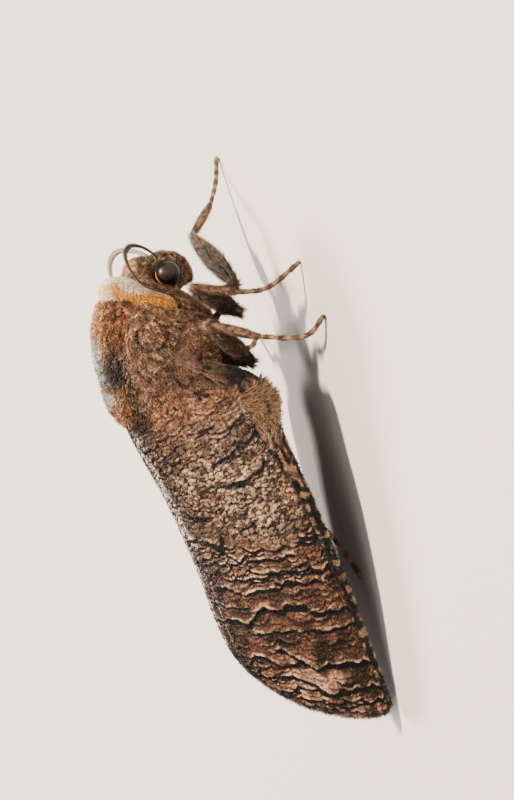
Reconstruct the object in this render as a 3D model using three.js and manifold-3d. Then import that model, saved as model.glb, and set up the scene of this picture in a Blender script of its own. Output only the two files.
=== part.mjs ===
// A goat moth at rest, life size: a stout furry moth that stands on its six legs with its
// bark-patterned wings folded like a roof along its back, the wing tips just off the ground.
//
// Millimetres, +Z up, +X towards the head, -Y the moth's right side. The body, the wings and
// the feelers are drawn in a frame of their own that slopes up towards the head; the legs are
// drawn upright, because their feet stand on the ground. At the end the whole moth is moved so
// that the origin lies under the middle of it, on the ground.
//
// Each solid reaches out to the tips of the scales and hairs that clothe the animal. Pieces that
// meet are one animal parted by thin cuts: each is cut back from its neighbour by GAP.

import * as THREE from "three";
import { mergeVertices } from "three/addons/utils/BufferGeometryUtils.js";
import Module from "manifold-3d";

const wasm = await Module();
wasm.setup();

// ---------------------------------------------------------------- driving dimensions

const BODY_RISE = THREE.MathUtils.degToRad(10.7); // slope of the body up to the head
const GAP = 0.1; // thin cut between pieces that meet
const SIDES = [
  ["right", -1],
  ["left", 1],
];

// The roof of the folded wings: at each place along the body its section is a quarter of a
// superellipse, from the ridge over the back down to the wing's front edge.
const ROOF_POWER = 1.25; // 1 is a plain ellipse; more gives a steeper, more pointed roof
const TORNUS = 11.4; // where the ridge ends and the outer margin begins
const MARGIN_REACH = 11.7; // how far the wing tip lies behind the tornus
const TIP_ROUNDING = 1.0; // how far the front corner of the wing tip is rounded back
const WING_ROOT = 36.5; // where the forewing joins the thorax
const FOREWING_THICKNESS = 0.5;
const HINDWING_THICKNESS = 0.5;
const HINDWING_ROOT = 33.5;
const HINDWING_SHARE = 0.82; // of the forewing's section, because it is folded away under it
const FOREWING_LIFT = 0.3; // front edge above the axis of the body
const HINDWING_LIFT = 1.0;
const HINDWING_SHORTER = 1.6; // how far its outer margin lies inside the forewing's
const ROOT_ANGLE = THREE.MathUtils.degToRad(52); // where on the roof the wing's root lies
const SHOULDER_AT = 29.6; // a tufted bulge of the front edge near the root

const THORAX = { centre: [37.4, 0, 5.2], radii: [7.2, 6.1, 5.9], tilt: 14, power: 2.25 };
const CREST = { centre: [34.9, 0, 8.2], radii: [4.3, 4.4, 3.5], tilt: 6 };
const COLLAR = { centre: [41.1, 0, 4.0], radii: [4.2, 5.7, 4.2], power: 3 };
const NECK = { centre: [40.4, 0, 2.9], radii: [1.7, 4.5, 5.2], tilt: 49 };
const HEAD = { centre: [42.95, 0, 2.1], radii: [2.15, 2.35, 1.95], tilt: 20 };
const CROWN = { centre: [43.7, 0, 3.9], radii: [1.7, 2.0, 1.8], tilt: 35 };
const EYE = { centre: [42.9, 2.2, 2.1], radii: [1.1, 1.05, 1.1] };
const TEGULA = { centre: [38.2, 5.25, 6.2], radii: [3.6, 1.25, 2.7], tilt: 20 };

const ABDOMEN_START = 32.5;
const ABDOMEN_END = 8.6;
const ABDOMEN_RADIUS = 4.3;
const ABDOMEN_RINGS = 7;
const ABDOMEN_STEPS = 15;

// ---------------------------------------------------------------- solids

// A closed three.js geometry as a solid that can be cut and joined.
function solid(geometry) {
  const bare = geometry.clone();
  bare.deleteAttribute("normal");
  bare.deleteAttribute("uv");
  const merged = mergeVertices(bare, 1e-4);
  const made = new wasm.Manifold(
    new wasm.Mesh({
      numProp: 3,
      vertProperties: new Float32Array(merged.attributes.position.array),
      triVerts: new Uint32Array(merged.index.array),
    }),
  );
  return made.volume() < 0 ? solid(turnedInsideOut(geometry)) : made;
}

// The same geometry with every face turned round.
function turnedInsideOut(geometry) {
  const flat = geometry.index ? geometry.toNonIndexed() : geometry.clone();
  const p = flat.attributes.position;
  const a = new THREE.Vector3();
  const b = new THREE.Vector3();
  for (let i = 0; i < p.count; i += 3) {
    a.fromBufferAttribute(p, i);
    b.fromBufferAttribute(p, i + 1);
    p.setXYZ(i, b.x, b.y, b.z);
    p.setXYZ(i + 1, a.x, a.y, a.z);
  }
  return flat;
}

// A solid as a three.js geometry; slivers that a cut has parted from it are dropped.
function geometryOf(shape) {
  const pieces = shape.decompose();
  const main = pieces.reduce((best, piece) => (piece.volume() > best.volume() ? piece : best));
  const mesh = main.getMesh();
  return new THREE.BufferGeometry()
    .setAttribute("position", new THREE.BufferAttribute(new Float32Array(mesh.vertProperties), 3))
    .setIndex(new THREE.BufferAttribute(new Uint32Array(mesh.triVerts), 1));
}

// Moves every vertex of a geometry to place(x, y, z).
function reshape(geometry, place) {
  const p = geometry.attributes.position;
  for (let i = 0; i < p.count; i += 1) {
    const moved = place(p.getX(i), p.getY(i), p.getZ(i));
    p.setXYZ(i, moved.x, moved.y, moved.z);
  }
  return geometry;
}

// A rounded, egg-like lump: a superellipsoid whose nose is tilted down by tilt degrees.
// side mirrors its centre, and grow makes it larger all round.
function egg({ centre, radii, tilt = 0, power = 2 }, { side = 1, grow = 0, wide = 22, high = 15 } = {}) {
  const sphere = new THREE.SphereGeometry(1, wide, high).rotateZ(Math.PI / 2);
  const [rx, ry, rz] = radii.map((r) => r + grow);
  return solid(
    reshape(sphere, (x, y, z) => {
      const k = (Math.abs(x) ** power + Math.abs(y) ** power + Math.abs(z) ** power) ** (-1 / power);
      return new THREE.Vector3(x * k * rx, y * k * ry, z * k * rz);
    })
      .rotateY(THREE.MathUtils.degToRad(tilt))
      .translate(centre[0], side * centre[1], centre[2]),
  );
}

// A limb that follows a curve. radius(t) gives [half width, half depth] from start to end.
function limb(curve, radius, sides, steps, grow = 0) {
  const rod = new THREE.CylinderGeometry(1, 1, 1, sides, steps);
  const frames = curve.computeFrenetFrames(steps * 2, false);
  return solid(
    reshape(rod, (x, y, z) => {
      const t = THREE.MathUtils.clamp(y + 0.5, 0, 1);
      const k = Math.round(t * steps * 2);
      const [a, b] = radius(t);
      const end = t < 1e-6 ? -grow : t > 1 - 1e-6 ? grow : 0;
      return curve
        .getPointAt(t)
        .addScaledVector(frames.normals[k], x * (a + grow))
        .addScaledVector(frames.binormals[k], z * (b + grow))
        .addScaledVector(frames.tangents[k], end);
    }),
  );
}

function curveThrough(points) {
  return new THREE.CatmullRomCurve3(
    points.map((p) => new THREE.Vector3(...p)),
    false,
    "centripetal",
  );
}

// The part of a solid on the far side of a plane, which faces the way of normal.
function inFrontOf(shape, { normal, offset }, gap = 0) {
  return shape.trimByPlane(normal, offset + gap);
}

function behind(shape, { normal, offset }, gap = 0) {
  return shape.trimByPlane(
    normal.map((n) => -n),
    -offset + gap,
  );
}

// ---------------------------------------------------------------- wings

// A smooth curve through a few [x, value] pairs, as a function of x.
function profile(pairs) {
  const curve = new THREE.SplineCurve(pairs.map(([x, y]) => new THREE.Vector2(x, y)));
  return (x) => {
    let low = 0;
    let high = 1;
    for (let i = 0; i < 24; i += 1) {
      const middle = (low + high) / 2;
      if (curve.getPoint(middle).x < x) low = middle;
      else high = middle;
    }
    return curve.getPoint(low).y;
  };
}

// Half the width of the roof, and the height of its ridge, along the body.
const roofHalfWidth = profile([
  [-2, 3.4],
  [5, 5.5],
  [12, 7.9],
  [20, 9.4],
  [27, 9.1],
  [33, 7.8],
  [37.5, 6.9],
]);
const ridgeHeight = profile([
  [-2, 9.7],
  [7, 10.0],
  [14, 10.05],
  [19, 9.7],
  [25, 9.7],
  [31, 10.2],
  [37.5, 10.4],
]);

// A point on the roof at x, turned through angle from the ridge (0) to the front edge (90 deg).
function onRoof(x, angle, side, share) {
  const across = Math.max(Math.sin(angle), 0) ** ROOF_POWER;
  const up = Math.max(Math.cos(angle), 0) ** ROOF_POWER;
  const width = roofHalfWidth(x) * share;
  return new THREE.Vector3(x, side * (GAP / 2 + width * across), ridgeHeight(x) * share * up);
}

// How far the wing has spread from its narrow root, on its front and hind halves.
const frontSpread = (u) => THREE.MathUtils.lerp(0.26, 1, THREE.MathUtils.smoothstep(u, 0, 0.15));
const hindSpread = (u) => THREE.MathUtils.lerp(0.45, 1, THREE.MathUtils.smoothstep(u, 0, 0.22));

// A point on a folded wing: u runs from its root to its outer margin, v from its front edge to
// its hind edge. Veins run along lines of constant v, and fan out from the root.
function onWing(u, v, side, { root, share, lift, shoulder, drawnIn }) {
  const fromRoot = (1 - v) * (Math.PI / 2) - ROOT_ANGLE;
  const angle = ROOT_ANGLE + fromRoot * (fromRoot > 0 ? frontSpread(u) : hindSpread(u));
  const roundedTip = TIP_ROUNDING * Math.max(1 - v / 0.14, 0) ** 2;
  const end = TORNUS + drawnIn - MARGIN_REACH * Math.sin(angle) + roundedTip;
  const x = THREE.MathUtils.lerp(root, end, u);
  const point = onRoof(x, angle, side, share);
  const bulge = Math.exp(-(((x - SHOULDER_AT) / 2) ** 2)) * Math.max(1 - v * 4, 0);
  point.z += lift - shoulder * bulge;
  return point;
}

// A folded wing as a thin curved plate.
function wing(side, spec, thickness, along, across) {
  const plate = new THREE.BoxGeometry(1, 1, 1, along, across, 1);
  const step = 1e-3;
  return solid(
    reshape(plate, (x, y, z) => {
      const u = x + 0.5;
      const v = y + 0.5;
      const p = onWing(u, v, side, spec);
      const su = u < 0.5 ? step : -step;
      const sv = v < 0.5 ? step : -step;
      const du = onWing(u + su, v, side, spec).sub(p).divideScalar(su);
      const dv = onWing(u, v + sv, side, spec).sub(p).divideScalar(sv);
      return p.addScaledVector(du.cross(dv).normalize(), z * thickness);
    }),
  );
}

// The left forewing is drawn in a little further than the right one.
const DRAWN_IN = { right: 0, left: 1.1 };
const forewingSpec = (label) => ({
  root: WING_ROOT,
  share: 1,
  lift: FOREWING_LIFT,
  shoulder: 0.9,
  drawnIn: DRAWN_IN[label],
});
const hindwingSpec = (label) => ({
  root: HINDWING_ROOT,
  share: HINDWING_SHARE,
  lift: HINDWING_LIFT,
  shoulder: 0,
  drawnIn: DRAWN_IN[label] + HINDWING_SHORTER,
});

// ---------------------------------------------------------------- feelers and palps

const mirrored = (points, side) => points.map(([x, y, z]) => [x, side * y, z]);

// Each feeler leaves the head beside the crown, arches up and back, and is folded down along
// the front of the collar.
const FEELER_PATH = [
  [44.2, 1.3, 2.2],
  [45.2, 1.6, 2.6],
  [46.0, 2.3, 3.4],
  [46.4, 3.0, 4.3],
  [46.1, 3.6, 5.0],
  [45.3, 4.2, 5.4],
  [44.2, 4.9, 5.5],
  [42.9, 5.4, 5.2],
  [41.8, 5.55, 4.2],
  [41.0, 5.4, 3.2],
];
const feelerRadius = (t) => [0.34 - 0.08 * t, 0.3 - 0.04 * t];

// The palps lie against the face.
const PALP_PATH = [
  [41.3, 0.7, 0.5],
  [42.2, 0.75, 0.2],
  [43.3, 0.8, 0.3],
  [44.3, 0.8, 0.9],
];
const palpRadius = (t) => [0.4 + 0.12 * Math.sin(Math.PI * t), 0.4 + 0.12 * Math.sin(Math.PI * t)];

const feeler = (side, grow = 0) =>
  limb(curveThrough(mirrored(FEELER_PATH, side)), feelerRadius, 7, 16, grow);
const palp = (side, grow = 0) =>
  limb(curveThrough(mirrored(PALP_PATH, side)), palpRadius, 7, 5, grow);

// ---------------------------------------------------------------- body

const COLLAR_BACK = { normal: [0.835, 0, -0.551], offset: 31.6 };
const COLLAR_FRONT = { normal: [0.657, 0, -0.754], offset: 24.4 };
const COLLAR_FOOT = { normal: [0, 0, 1], offset: 3.2 };

const thoraxWhole = (grow = 0) =>
  egg(THORAX, { wide: 22, high: 15, grow }).add(egg(CREST, { wide: 16, high: 10, grow }));
const headWhole = (grow = 0) =>
  egg(HEAD, { wide: 16, high: 11, grow }).add(egg(CROWN, { wide: 12, high: 7, grow }));
const eyeWhole = (side, grow = 0) => egg(EYE, { side, wide: 12, high: 8, grow });

const collarWhole = (grow = 0) => {
  const ring = egg(COLLAR, { wide: 20, high: 14, grow });
  const wedge = behind(inFrontOf(ring, COLLAR_BACK, -grow), COLLAR_FRONT, -grow);
  return inFrontOf(wedge, COLLAR_FOOT, -grow);
};

const thoraxGrown = thoraxWhole(GAP);
const headGrown = headWhole(GAP);
const feelersGrown = SIDES.map(([, side]) => feeler(side, GAP));
const palpsGrown = SIDES.map(([, side]) => palp(side, GAP));

const cut = (shape, tools) => tools.reduce((left, tool) => left.subtract(tool), shape);

const thorax = behind(thoraxWhole(), COLLAR_BACK, GAP);
const collar = cut(collarWhole(), feelersGrown);
const head = cut(
  inFrontOf(headWhole(), COLLAR_FRONT, GAP),
  SIDES.map(([, side]) => eyeWhole(side, GAP)),
);
const neckWhole = (grow = 0) => egg(NECK, { wide: 12, high: 8, grow });
const neck = cut(inFrontOf(neckWhole(), COLLAR_BACK), [
  collarWhole(GAP),
  headGrown,
  ...SIDES.map(([, side]) => eyeWhole(side, GAP)),
  ...feelersGrown,
  ...palpsGrown,
]);

// The abdomen's outline from its waist at the thorax to its tip, with a shallow groove
// between one ring and the next.
function abdomenProfile(grow) {
  const length = ABDOMEN_START - ABDOMEN_END;
  const points = [new THREE.Vector2(0, -grow)];
  for (let i = 0; i <= ABDOMEN_STEPS; i += 1) {
    const t = i / ABDOMEN_STEPS;
    const swell = 0.86 + 0.14 * Math.sin(Math.PI * Math.min(t * 1.7, 1));
    const taper = Math.sqrt(Math.max(1 - t ** 3.2, 0));
    const groove = 1 - 0.03 * Math.abs(Math.cos(Math.PI * ABDOMEN_RINGS * t));
    points.push(new THREE.Vector2(ABDOMEN_RADIUS * swell * taper * groove + grow, t * length));
  }
  points[points.length - 1].set(0, length + grow);
  return points;
}

function abdomenWhole(grow = 0) {
  const turned = new THREE.LatheGeometry(abdomenProfile(grow), 14).rotateZ(Math.PI / 2);
  return solid(
    reshape(turned, (x, y, z) => {
      const t = -x / (ABDOMEN_START - ABDOMEN_END);
      return new THREE.Vector3(ABDOMEN_START + x, y, z + 4.5 - 0.9 * t * t);
    }),
  );
}

const abdomen = abdomenWhole().subtract(thoraxGrown);
const abdomenGrown = abdomenWhole(GAP * 2);

// ---------------------------------------------------------------- wings against the body

const forewings = SIDES.map(([label, side]) =>
  wing(side, forewingSpec(label), FOREWING_THICKNESS, 18, 9).subtract(thoraxGrown),
);
const forewingsGrown = SIDES.map(([label, side]) =>
  wing(side, forewingSpec(label), FOREWING_THICKNESS + 2 * GAP, 18, 9),
);
const hindwings = SIDES.map(([label, side], i) =>
  cut(wing(side, hindwingSpec(label), HINDWING_THICKNESS, 9, 5), [
    forewingsGrown[i],
    thoraxGrown,
    abdomenGrown,
  ]),
);
const tegulae = SIDES.map(([, side], i) =>
  cut(behind(egg(TEGULA, { side, wide: 14, high: 10 }), COLLAR_BACK, GAP), [
    thoraxGrown,
    collarWhole(GAP),
    forewingsGrown[i],
  ]),
);

// ---------------------------------------------------------------- legs

// Where the joints of each leg are, on the ground's own level frame: hip, end of the coxa, knee,
// end of the shin, instep and claw. The right foreleg is drawn in under the head, and the left
// one reaches forward. The hind legs trail back along the abdomen, under the wings.
const LEGS = {
  foreleg_right: [
    [38.6, -2.6, 7.6],
    [36.9, -4.4, 5.0],
    [40.0, -6.1, 9.2],
    [38.6, -7.5, 5.8],
    [38.3, -8.3, 3.3],
    [39.8, -9.4, 0.12],
  ],
  foreleg_left: [
    [38.9, 2.6, 7.6],
    [39.4, 4.0, 3.0],
    [44.8, 8.4, 5.0],
    [47.2, 10.4, 2.3],
    [49.2, 11.6, 1.0],
    [51.4, 12.6, 0.18],
  ],
  midleg_right: [
    [33.8, -2.8, 7.4],
    [32.4, -4.9, 5.1],
    [36.5, -7.5, 8.8],
    [34.4, -9.7, 5.2],
    [33.5, -11.6, 1.6],
    [34.8, -13.6, 0.18],
  ],
  midleg_left: [
    [33.8, 2.8, 7.4],
    [32.4, 5.0, 4.9],
    [36.6, 8.0, 8.2],
    [34.6, 10.3, 4.6],
    [34.0, 12.0, 1.5],
    [35.0, 14.2, 0.18],
  ],
  hindleg_right: [
    [30.6, -2.6, 6.2],
    [30.4, -3.4, 4.2],
    [25.4, -4.6, 5.4],
    [18.4, -3.4, 3.2],
    [15.6, -3.1, 1.5],
    [12.2, -3.3, 0.18],
  ],
  hindleg_left: [
    [30.6, 2.6, 6.2],
    [30.4, 3.4, 4.2],
    [25.5, 4.6, 5.4],
    [18.7, 3.5, 3.2],
    [15.9, 3.3, 1.5],
    [12.6, 3.6, 0.18],
  ],
};

const COXA_RADIUS = [1.0, 0.62];
const FEMUR_RADIUS = { fore: [0.5, 1.1], mid: [0.5, 0.95], hind: [0.5, 0.75] };
const SHIN_RADIUS = { fore: [0.42, 0.55], mid: [0.42, 0.62], hind: [0.42, 0.55] };
const FOOT_RADIUS = 0.34;
const FOOT_JOINTS = 5;

const GROUND = { normal: [0, 0, 1], offset: 0 };

// A limb's part that is widest in the middle.
const bulging = ([ends, middle]) => (t) => {
  const r = ends + (middle - ends) * Math.sin(Math.PI * t);
  return [r, r];
};

function coxaRadius(t) {
  const r = THREE.MathUtils.lerp(...COXA_RADIUS, t);
  return [r, r];
}

function footRadius(t) {
  const bead = FOOT_RADIUS * (1 - 0.14 * Math.abs(Math.cos(Math.PI * FOOT_JOINTS * t)));
  return [bead, bead * 0.9];
}

// The four parts of a leg, each cut back from the parts before it and from the body.
function leg(pair, joints, body) {
  const [hip, coxaEnd, knee, shinEnd, instep, claw] = joints;
  const shapes = [
    ["coxa", (grow) => limb(curveThrough([hip, coxaEnd]), coxaRadius, 7, 2, grow)],
    ["femur", (grow) => limb(curveThrough([coxaEnd, knee]), bulging(FEMUR_RADIUS[pair]), 7, 4, grow)],
    ["tibia", (grow) => limb(curveThrough([knee, shinEnd]), bulging(SHIN_RADIUS[pair]), 7, 4, grow)],
    ["tarsus", (grow) => limb(curveThrough([shinEnd, instep, claw]), footRadius, 6, 10, grow)],
  ];
  return shapes.map(([name, shape], i) => {
    const earlier = shapes.slice(0, i).map(([, before]) => before(GAP));
    return [name, inFrontOf(cut(shape(0), [...earlier, ...body]), GROUND)];
  });
}

// ---------------------------------------------------------------- the moth

const finish = (colour, roughness) =>
  new THREE.MeshStandardMaterial({ color: colour, roughness, metalness: 0 });
const BROWN_FUR = finish("#6b442c", 0.95);
const GREY_BROWN_FUR = finish("#5b4537", 0.95);
const BARK_WING = finish("#70503b", 0.9);
const HIDDEN_WING = finish("#6d5d50", 0.9);
const PALE_FUR = finish("#d8a860", 0.95);
const DARK_HORN = finish("#33241d", 0.6);
const EYE_BROWN = finish("#2b211d", 0.2);

const moth = new THREE.Group();
const trunk = new THREE.Group();
trunk.rotation.y = -BODY_RISE;
const stance = new THREE.Group();
moth.add(trunk, stance);

function piece(group, name, shape, material) {
  const mesh = new THREE.Mesh(geometryOf(shape), material);
  mesh.name = name;
  group.add(mesh);
}

piece(trunk, "head", head, GREY_BROWN_FUR);
piece(trunk, "neck", neck, GREY_BROWN_FUR);
piece(trunk, "collar", collar, PALE_FUR);
piece(trunk, "thorax", thorax, BROWN_FUR);
piece(trunk, "abdomen", abdomen, GREY_BROWN_FUR);
SIDES.forEach(([label, side], i) => {
  piece(trunk, `eye_${label}`, eyeWhole(side), EYE_BROWN);
  piece(trunk, `palp_${label}`, palp(side).subtract(headGrown), GREY_BROWN_FUR);
  piece(trunk, `antenna_${label}`, feeler(side).subtract(headGrown), DARK_HORN);
  piece(trunk, `tegula_${label}`, tegulae[i], BROWN_FUR);
  piece(trunk, `forewing_${label}`, forewings[i], BARK_WING);
  piece(trunk, `hindwing_${label}`, hindwings[i], HIDDEN_WING);
});

// The body as the legs meet it: turned up with the trunk, and a little larger all round.
const risen = (shape) => shape.rotate([0, -THREE.MathUtils.radToDeg(BODY_RISE), 0]);
const bodyForLegs = [thoraxGrown, headGrown, neckWhole(GAP), abdomenGrown, ...forewingsGrown]
  .map(risen);

for (const [name, joints] of Object.entries(LEGS)) {
  const pair = name.slice(0, name.indexOf("leg"));
  for (const [part, shape] of leg(pair, joints, bodyForLegs))
    piece(stance, `${name}_${part}`, shape, GREY_BROWN_FUR);
}

// The origin lies on the ground under the middle of the moth.
moth.updateMatrixWorld(true);
const reach = new THREE.Box3().setFromObject(moth, true);
const middle = reach.getCenter(new THREE.Vector3());
moth.position.set(-middle.x, -middle.y, -reach.min.z);

export default moth;
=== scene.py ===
import itertools
import math

import bmesh
import bpy
import numpy as np
from mathutils import Matrix, Vector
from mathutils.bvhtree import BVHTree


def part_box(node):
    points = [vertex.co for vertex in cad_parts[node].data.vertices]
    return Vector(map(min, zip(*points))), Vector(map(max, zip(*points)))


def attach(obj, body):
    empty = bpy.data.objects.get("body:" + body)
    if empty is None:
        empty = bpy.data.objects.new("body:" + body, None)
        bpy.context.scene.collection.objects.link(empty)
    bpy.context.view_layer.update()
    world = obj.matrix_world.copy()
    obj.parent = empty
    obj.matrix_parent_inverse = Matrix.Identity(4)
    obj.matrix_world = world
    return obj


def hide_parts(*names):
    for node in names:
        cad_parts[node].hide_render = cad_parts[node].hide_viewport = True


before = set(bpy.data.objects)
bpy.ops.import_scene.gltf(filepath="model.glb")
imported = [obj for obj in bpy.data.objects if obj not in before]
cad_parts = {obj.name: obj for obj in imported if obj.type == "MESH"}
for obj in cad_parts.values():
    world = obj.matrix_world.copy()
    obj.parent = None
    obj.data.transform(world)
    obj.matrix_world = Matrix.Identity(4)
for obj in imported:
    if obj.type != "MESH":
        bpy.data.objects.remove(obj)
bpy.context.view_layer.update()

# ---------------------------------------------------------------- studio
# A goat moth stands on a pale studio floor, seen from its right side and a little above, with
# the camera turned so that its head is at the top of the frame. A warm lamp shines from behind
# and above its back, as low sun does, and pale panels fill the side that faces the camera.

AIM = Vector((0.00366, -0.00029, 0.00464))  # near the moth's middle, in metres
DISTANCE = 0.38
LOOKS_DOWN = math.radians(12)
ROLL = math.radians(14)
LAMP_DISTANCE = 0.9

forward = Vector((0, math.cos(LOOKS_DOWN), -math.sin(LOOKS_DOWN)))
along = Vector((1, 0, 0))
across = forward.cross(along)
right = math.cos(ROLL) * across - math.sin(ROLL) * along
up = math.sin(ROLL) * across + math.cos(ROLL) * along

view = bpy.data.cameras.new("view")
view.sensor_fit = "VERTICAL"
view.sensor_height = 24
view.lens = 130.5
view.clip_start = 0.01
camera = bpy.data.objects.new("camera", view)
turned = Matrix((right, up, -forward)).transposed().to_4x4()
camera.matrix_world = Matrix.Translation(AIM - DISTANCE * forward) @ turned
bpy.context.scene.collection.objects.link(camera)
bpy.context.scene.camera = camera


def paint(red, green, blue):
    """A colour given as on a paint chart, 0 to 255, as the renderer wants it."""
    chart = np.array([red, green, blue]) / 255
    return np.where(chart < 0.04045, chart / 12.92, ((chart + 0.055) / 1.055) ** 2.4)


def put(node, **values):
    """Sets inputs of a node. An underscore stands for the space in an input's name."""
    for name, value in values.items():
        node.inputs[name.replace("_", " ")].default_value = value


def finish_of(name, colour, roughness):
    """A material with its Principled shader at hand."""
    material = bpy.data.materials.new(name)
    material.use_nodes = True
    shader = material.node_tree.nodes["Principled BSDF"]
    put(shader, Base_Color=(*colour, 1), Roughness=roughness)
    return material, material.node_tree, shader


floor_mesh = bmesh.new()
bmesh.ops.create_grid(floor_mesh, x_segments=1, y_segments=1, size=4)
floor = bpy.data.objects.new("floor", bpy.data.meshes.new("floor"))
floor_mesh.to_mesh(floor.data)
floor_mesh.free()
floor.data.materials.append(finish_of("floor_paper", paint(204, 198, 189), 0.9)[0])
bpy.context.scene.collection.objects.link(floor)


def lamp(name, towards, size, watts, colour):
    """A square lamp that shines on the moth from the given direction."""
    light = bpy.data.lights.new(name, "AREA")
    light.size = size
    light.energy = watts
    light.color = colour
    holder = bpy.data.objects.new(name, light)
    place = Vector(towards).normalized() * LAMP_DISTANCE + AIM
    faced = Vector(towards).to_track_quat("Z", "Y").to_matrix().to_4x4()
    holder.matrix_world = Matrix.Translation(place) @ faced
    bpy.context.scene.collection.objects.link(holder)


lamp("sun_lamp", (0.45, -0.12, 0.9), 0.1, 18, (1.0, 0.88, 0.72))
lamp("rim_lamp", (0.15, 0.8, 0.6), 0.2, 9, (1.0, 0.95, 0.9))
lamp("side_panel", (0.25, -0.9, 0.55), 0.8, 3.0, (1.0, 0.95, 0.88))
lamp("tail_panel", (-0.8, -0.3, 0.6), 0.6, 0.8, (0.85, 0.92, 1.0))
sky = bpy.data.worlds.new("studio_air")
sky.use_nodes = True
put(sky.node_tree.nodes["Background"], Color=(0.82, 0.88, 1.0, 1), Strength=0.32)
bpy.context.scene.world = sky
bpy.context.scene.view_settings.look = "AgX - Medium High Contrast"

# ---------------------------------------------------------------- body frame and coat colours
# The moth's body slopes up towards the head. Its markings lie in the scales and hairs, so the
# skin and the coat over it take their colours from the same places on the body: millimetres
# back to front, right to left and belly to back, along the sloping body.

MM = 0.001
BODY_RISE = math.radians(10.7)
EYE = np.array([42.9, 2.2, 2.1])  # the left eye's middle
COS_RISE, SIN_RISE = math.cos(BODY_RISE), math.sin(BODY_RISE)
RISEN = np.array([[COS_RISE, 0, -SIN_RISE], [0, 1, 0], [SIN_RISE, 0, COS_RISE]])

eye_low, eye_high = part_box("eye_right")
eye_middle = np.array((eye_low + eye_high) / 2) / MM
ORIGIN = eye_middle - RISEN @ (EYE * (1, -1, 1))


def to_row(body):
    """Body millimetres as metres on the studio floor."""
    return (body @ RISEN.T + ORIGIN) * MM


def to_body(row):
    return (row / MM - ORIGIN) @ RISEN


def smooth(x, low, high):
    """0 where x is below low, 1 above high and an even slope between them."""
    t = np.clip((x - low) / (high - low), 0, 1)
    return t * t * (3 - 2 * t)


def near(x, width):
    """1 where x is 0, falling off on both sides over that width."""
    return np.exp(-((x / width) ** 2))


def mix(a, b, share):
    return a + (b - a) * np.asarray(share)[..., None]


def layered(c, *coats):
    """Colours laid over c one after the other, each given with the share that it covers."""
    for colour, share in coats:
        c = mix(c, colour, share)
    return c


def scrambled(cells, seed):
    """A random value from 0 to 1 for each whole-numbered cell."""
    h = (cells * np.array([73856093, 19349663, 83492791][: cells.shape[-1]])).sum(-1) + seed * 7919
    h = (h ^ (h >> 13)) * 1274126177 & 0x7FFFFFFF
    h = (h ^ (h >> 16)) * 668265263 & 0x7FFFFFFF
    return (h ^ (h >> 15)) / 0x7FFFFFFF


def lumps(points, size, seed):
    """Soft random lumps of that size, from -1 to 1."""
    q = points / size
    cell = np.floor(q).astype(np.int64)
    f = q - cell
    f = f * f * (3 - 2 * f)
    total = 0
    for corner in itertools.product((0, 1), repeat=points.shape[-1]):
        weight = np.where(np.array(corner), f, 1 - f).prod(-1)
        total = total + weight * scrambled(cell + np.array(corner), seed)
    return total * 2 - 1


def spot(x, z, centre, radii, soft=0.35, turn=0):
    """1 inside an oval patch seen from the side, 0 outside it."""
    c, s = math.cos(math.radians(turn)), math.sin(math.radians(turn))
    dx, dz = x - centre[0], z - centre[1]
    away = np.hypot((dx * c + dz * s) / radii[0], (dz * c - dx * s) / radii[1])
    return 1 - smooth(away, 1 - soft, 1 + soft)


COFFEE = paint(104, 72, 50)
RUSSET = paint(146, 103, 74)
WARM_WHITE = paint(250, 236, 212)
DARK_COFFEE = paint(62, 42, 31)
GINGER = paint(158, 96, 52)
GREY_BROWN = paint(128, 102, 84)
PINK_GREY = paint(176, 146, 128)
SOOT = paint(24, 20, 19)
CREAM = paint(226, 196, 160)
FROST = paint(226, 224, 226)
BLUE_GREY = paint(160, 168, 186)
AMBER = paint(246, 168, 88)
STRAW = paint(196, 140, 78)


def grainy(c, body, size, seed, strength):
    """Sets dark roots and pale tips of tufts beside each other."""
    grain = lumps(body, size, seed)
    c = c * 2 ** (strength * 1.5 * grain)[:, None]
    return mix(c, CREAM, 0.55 * strength * smooth(grain, 0.3, 0.8))


# The colour functions below take places on the body as rows of x, y and z in body millimetres.


def wing_root_share(x, z):
    """1 on the flanks where the wings grow out of the thorax."""
    return smooth(38.0 - x, 0, 1.0) * smooth(9.5 - z, 0, 0.8) * smooth(z, 2.0, 3.0)


def crinkles(body):
    return lumps(body * (1, 1, 0.75), 0.85, 26) + 0.5 * lumps(body, 0.35, 27)


def barky(c, body, share):
    """Low brown plates with dark creases between them, as on the roots of the wings."""
    crinkle = crinkles(body)
    # painted light: the plates are paler where they lie high
    plates = mix(RUSSET * 1.3, PINK_GREY * 1.2, 0.2 + 0.6 * smooth(crinkle, 0.2, 0.8))
    c = mix(c, plates, 0.85 * share)
    # painted shade: darker in the low ground and darkest in the creases
    c = c * (1 - 0.4 * share * smooth(-crinkle, -0.1, 0.4))[:, None]
    return mix(c, SOOT, 0.9 * share * smooth(-crinkle, 0.45, 0.65))


def from_pad(x, z):
    """How far out from the middle of the round pad over a wing's root, 1 at the groove round it."""
    return np.hypot((x - 38.6) / 1.25, (z - 6.4) / 1.35)


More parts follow.
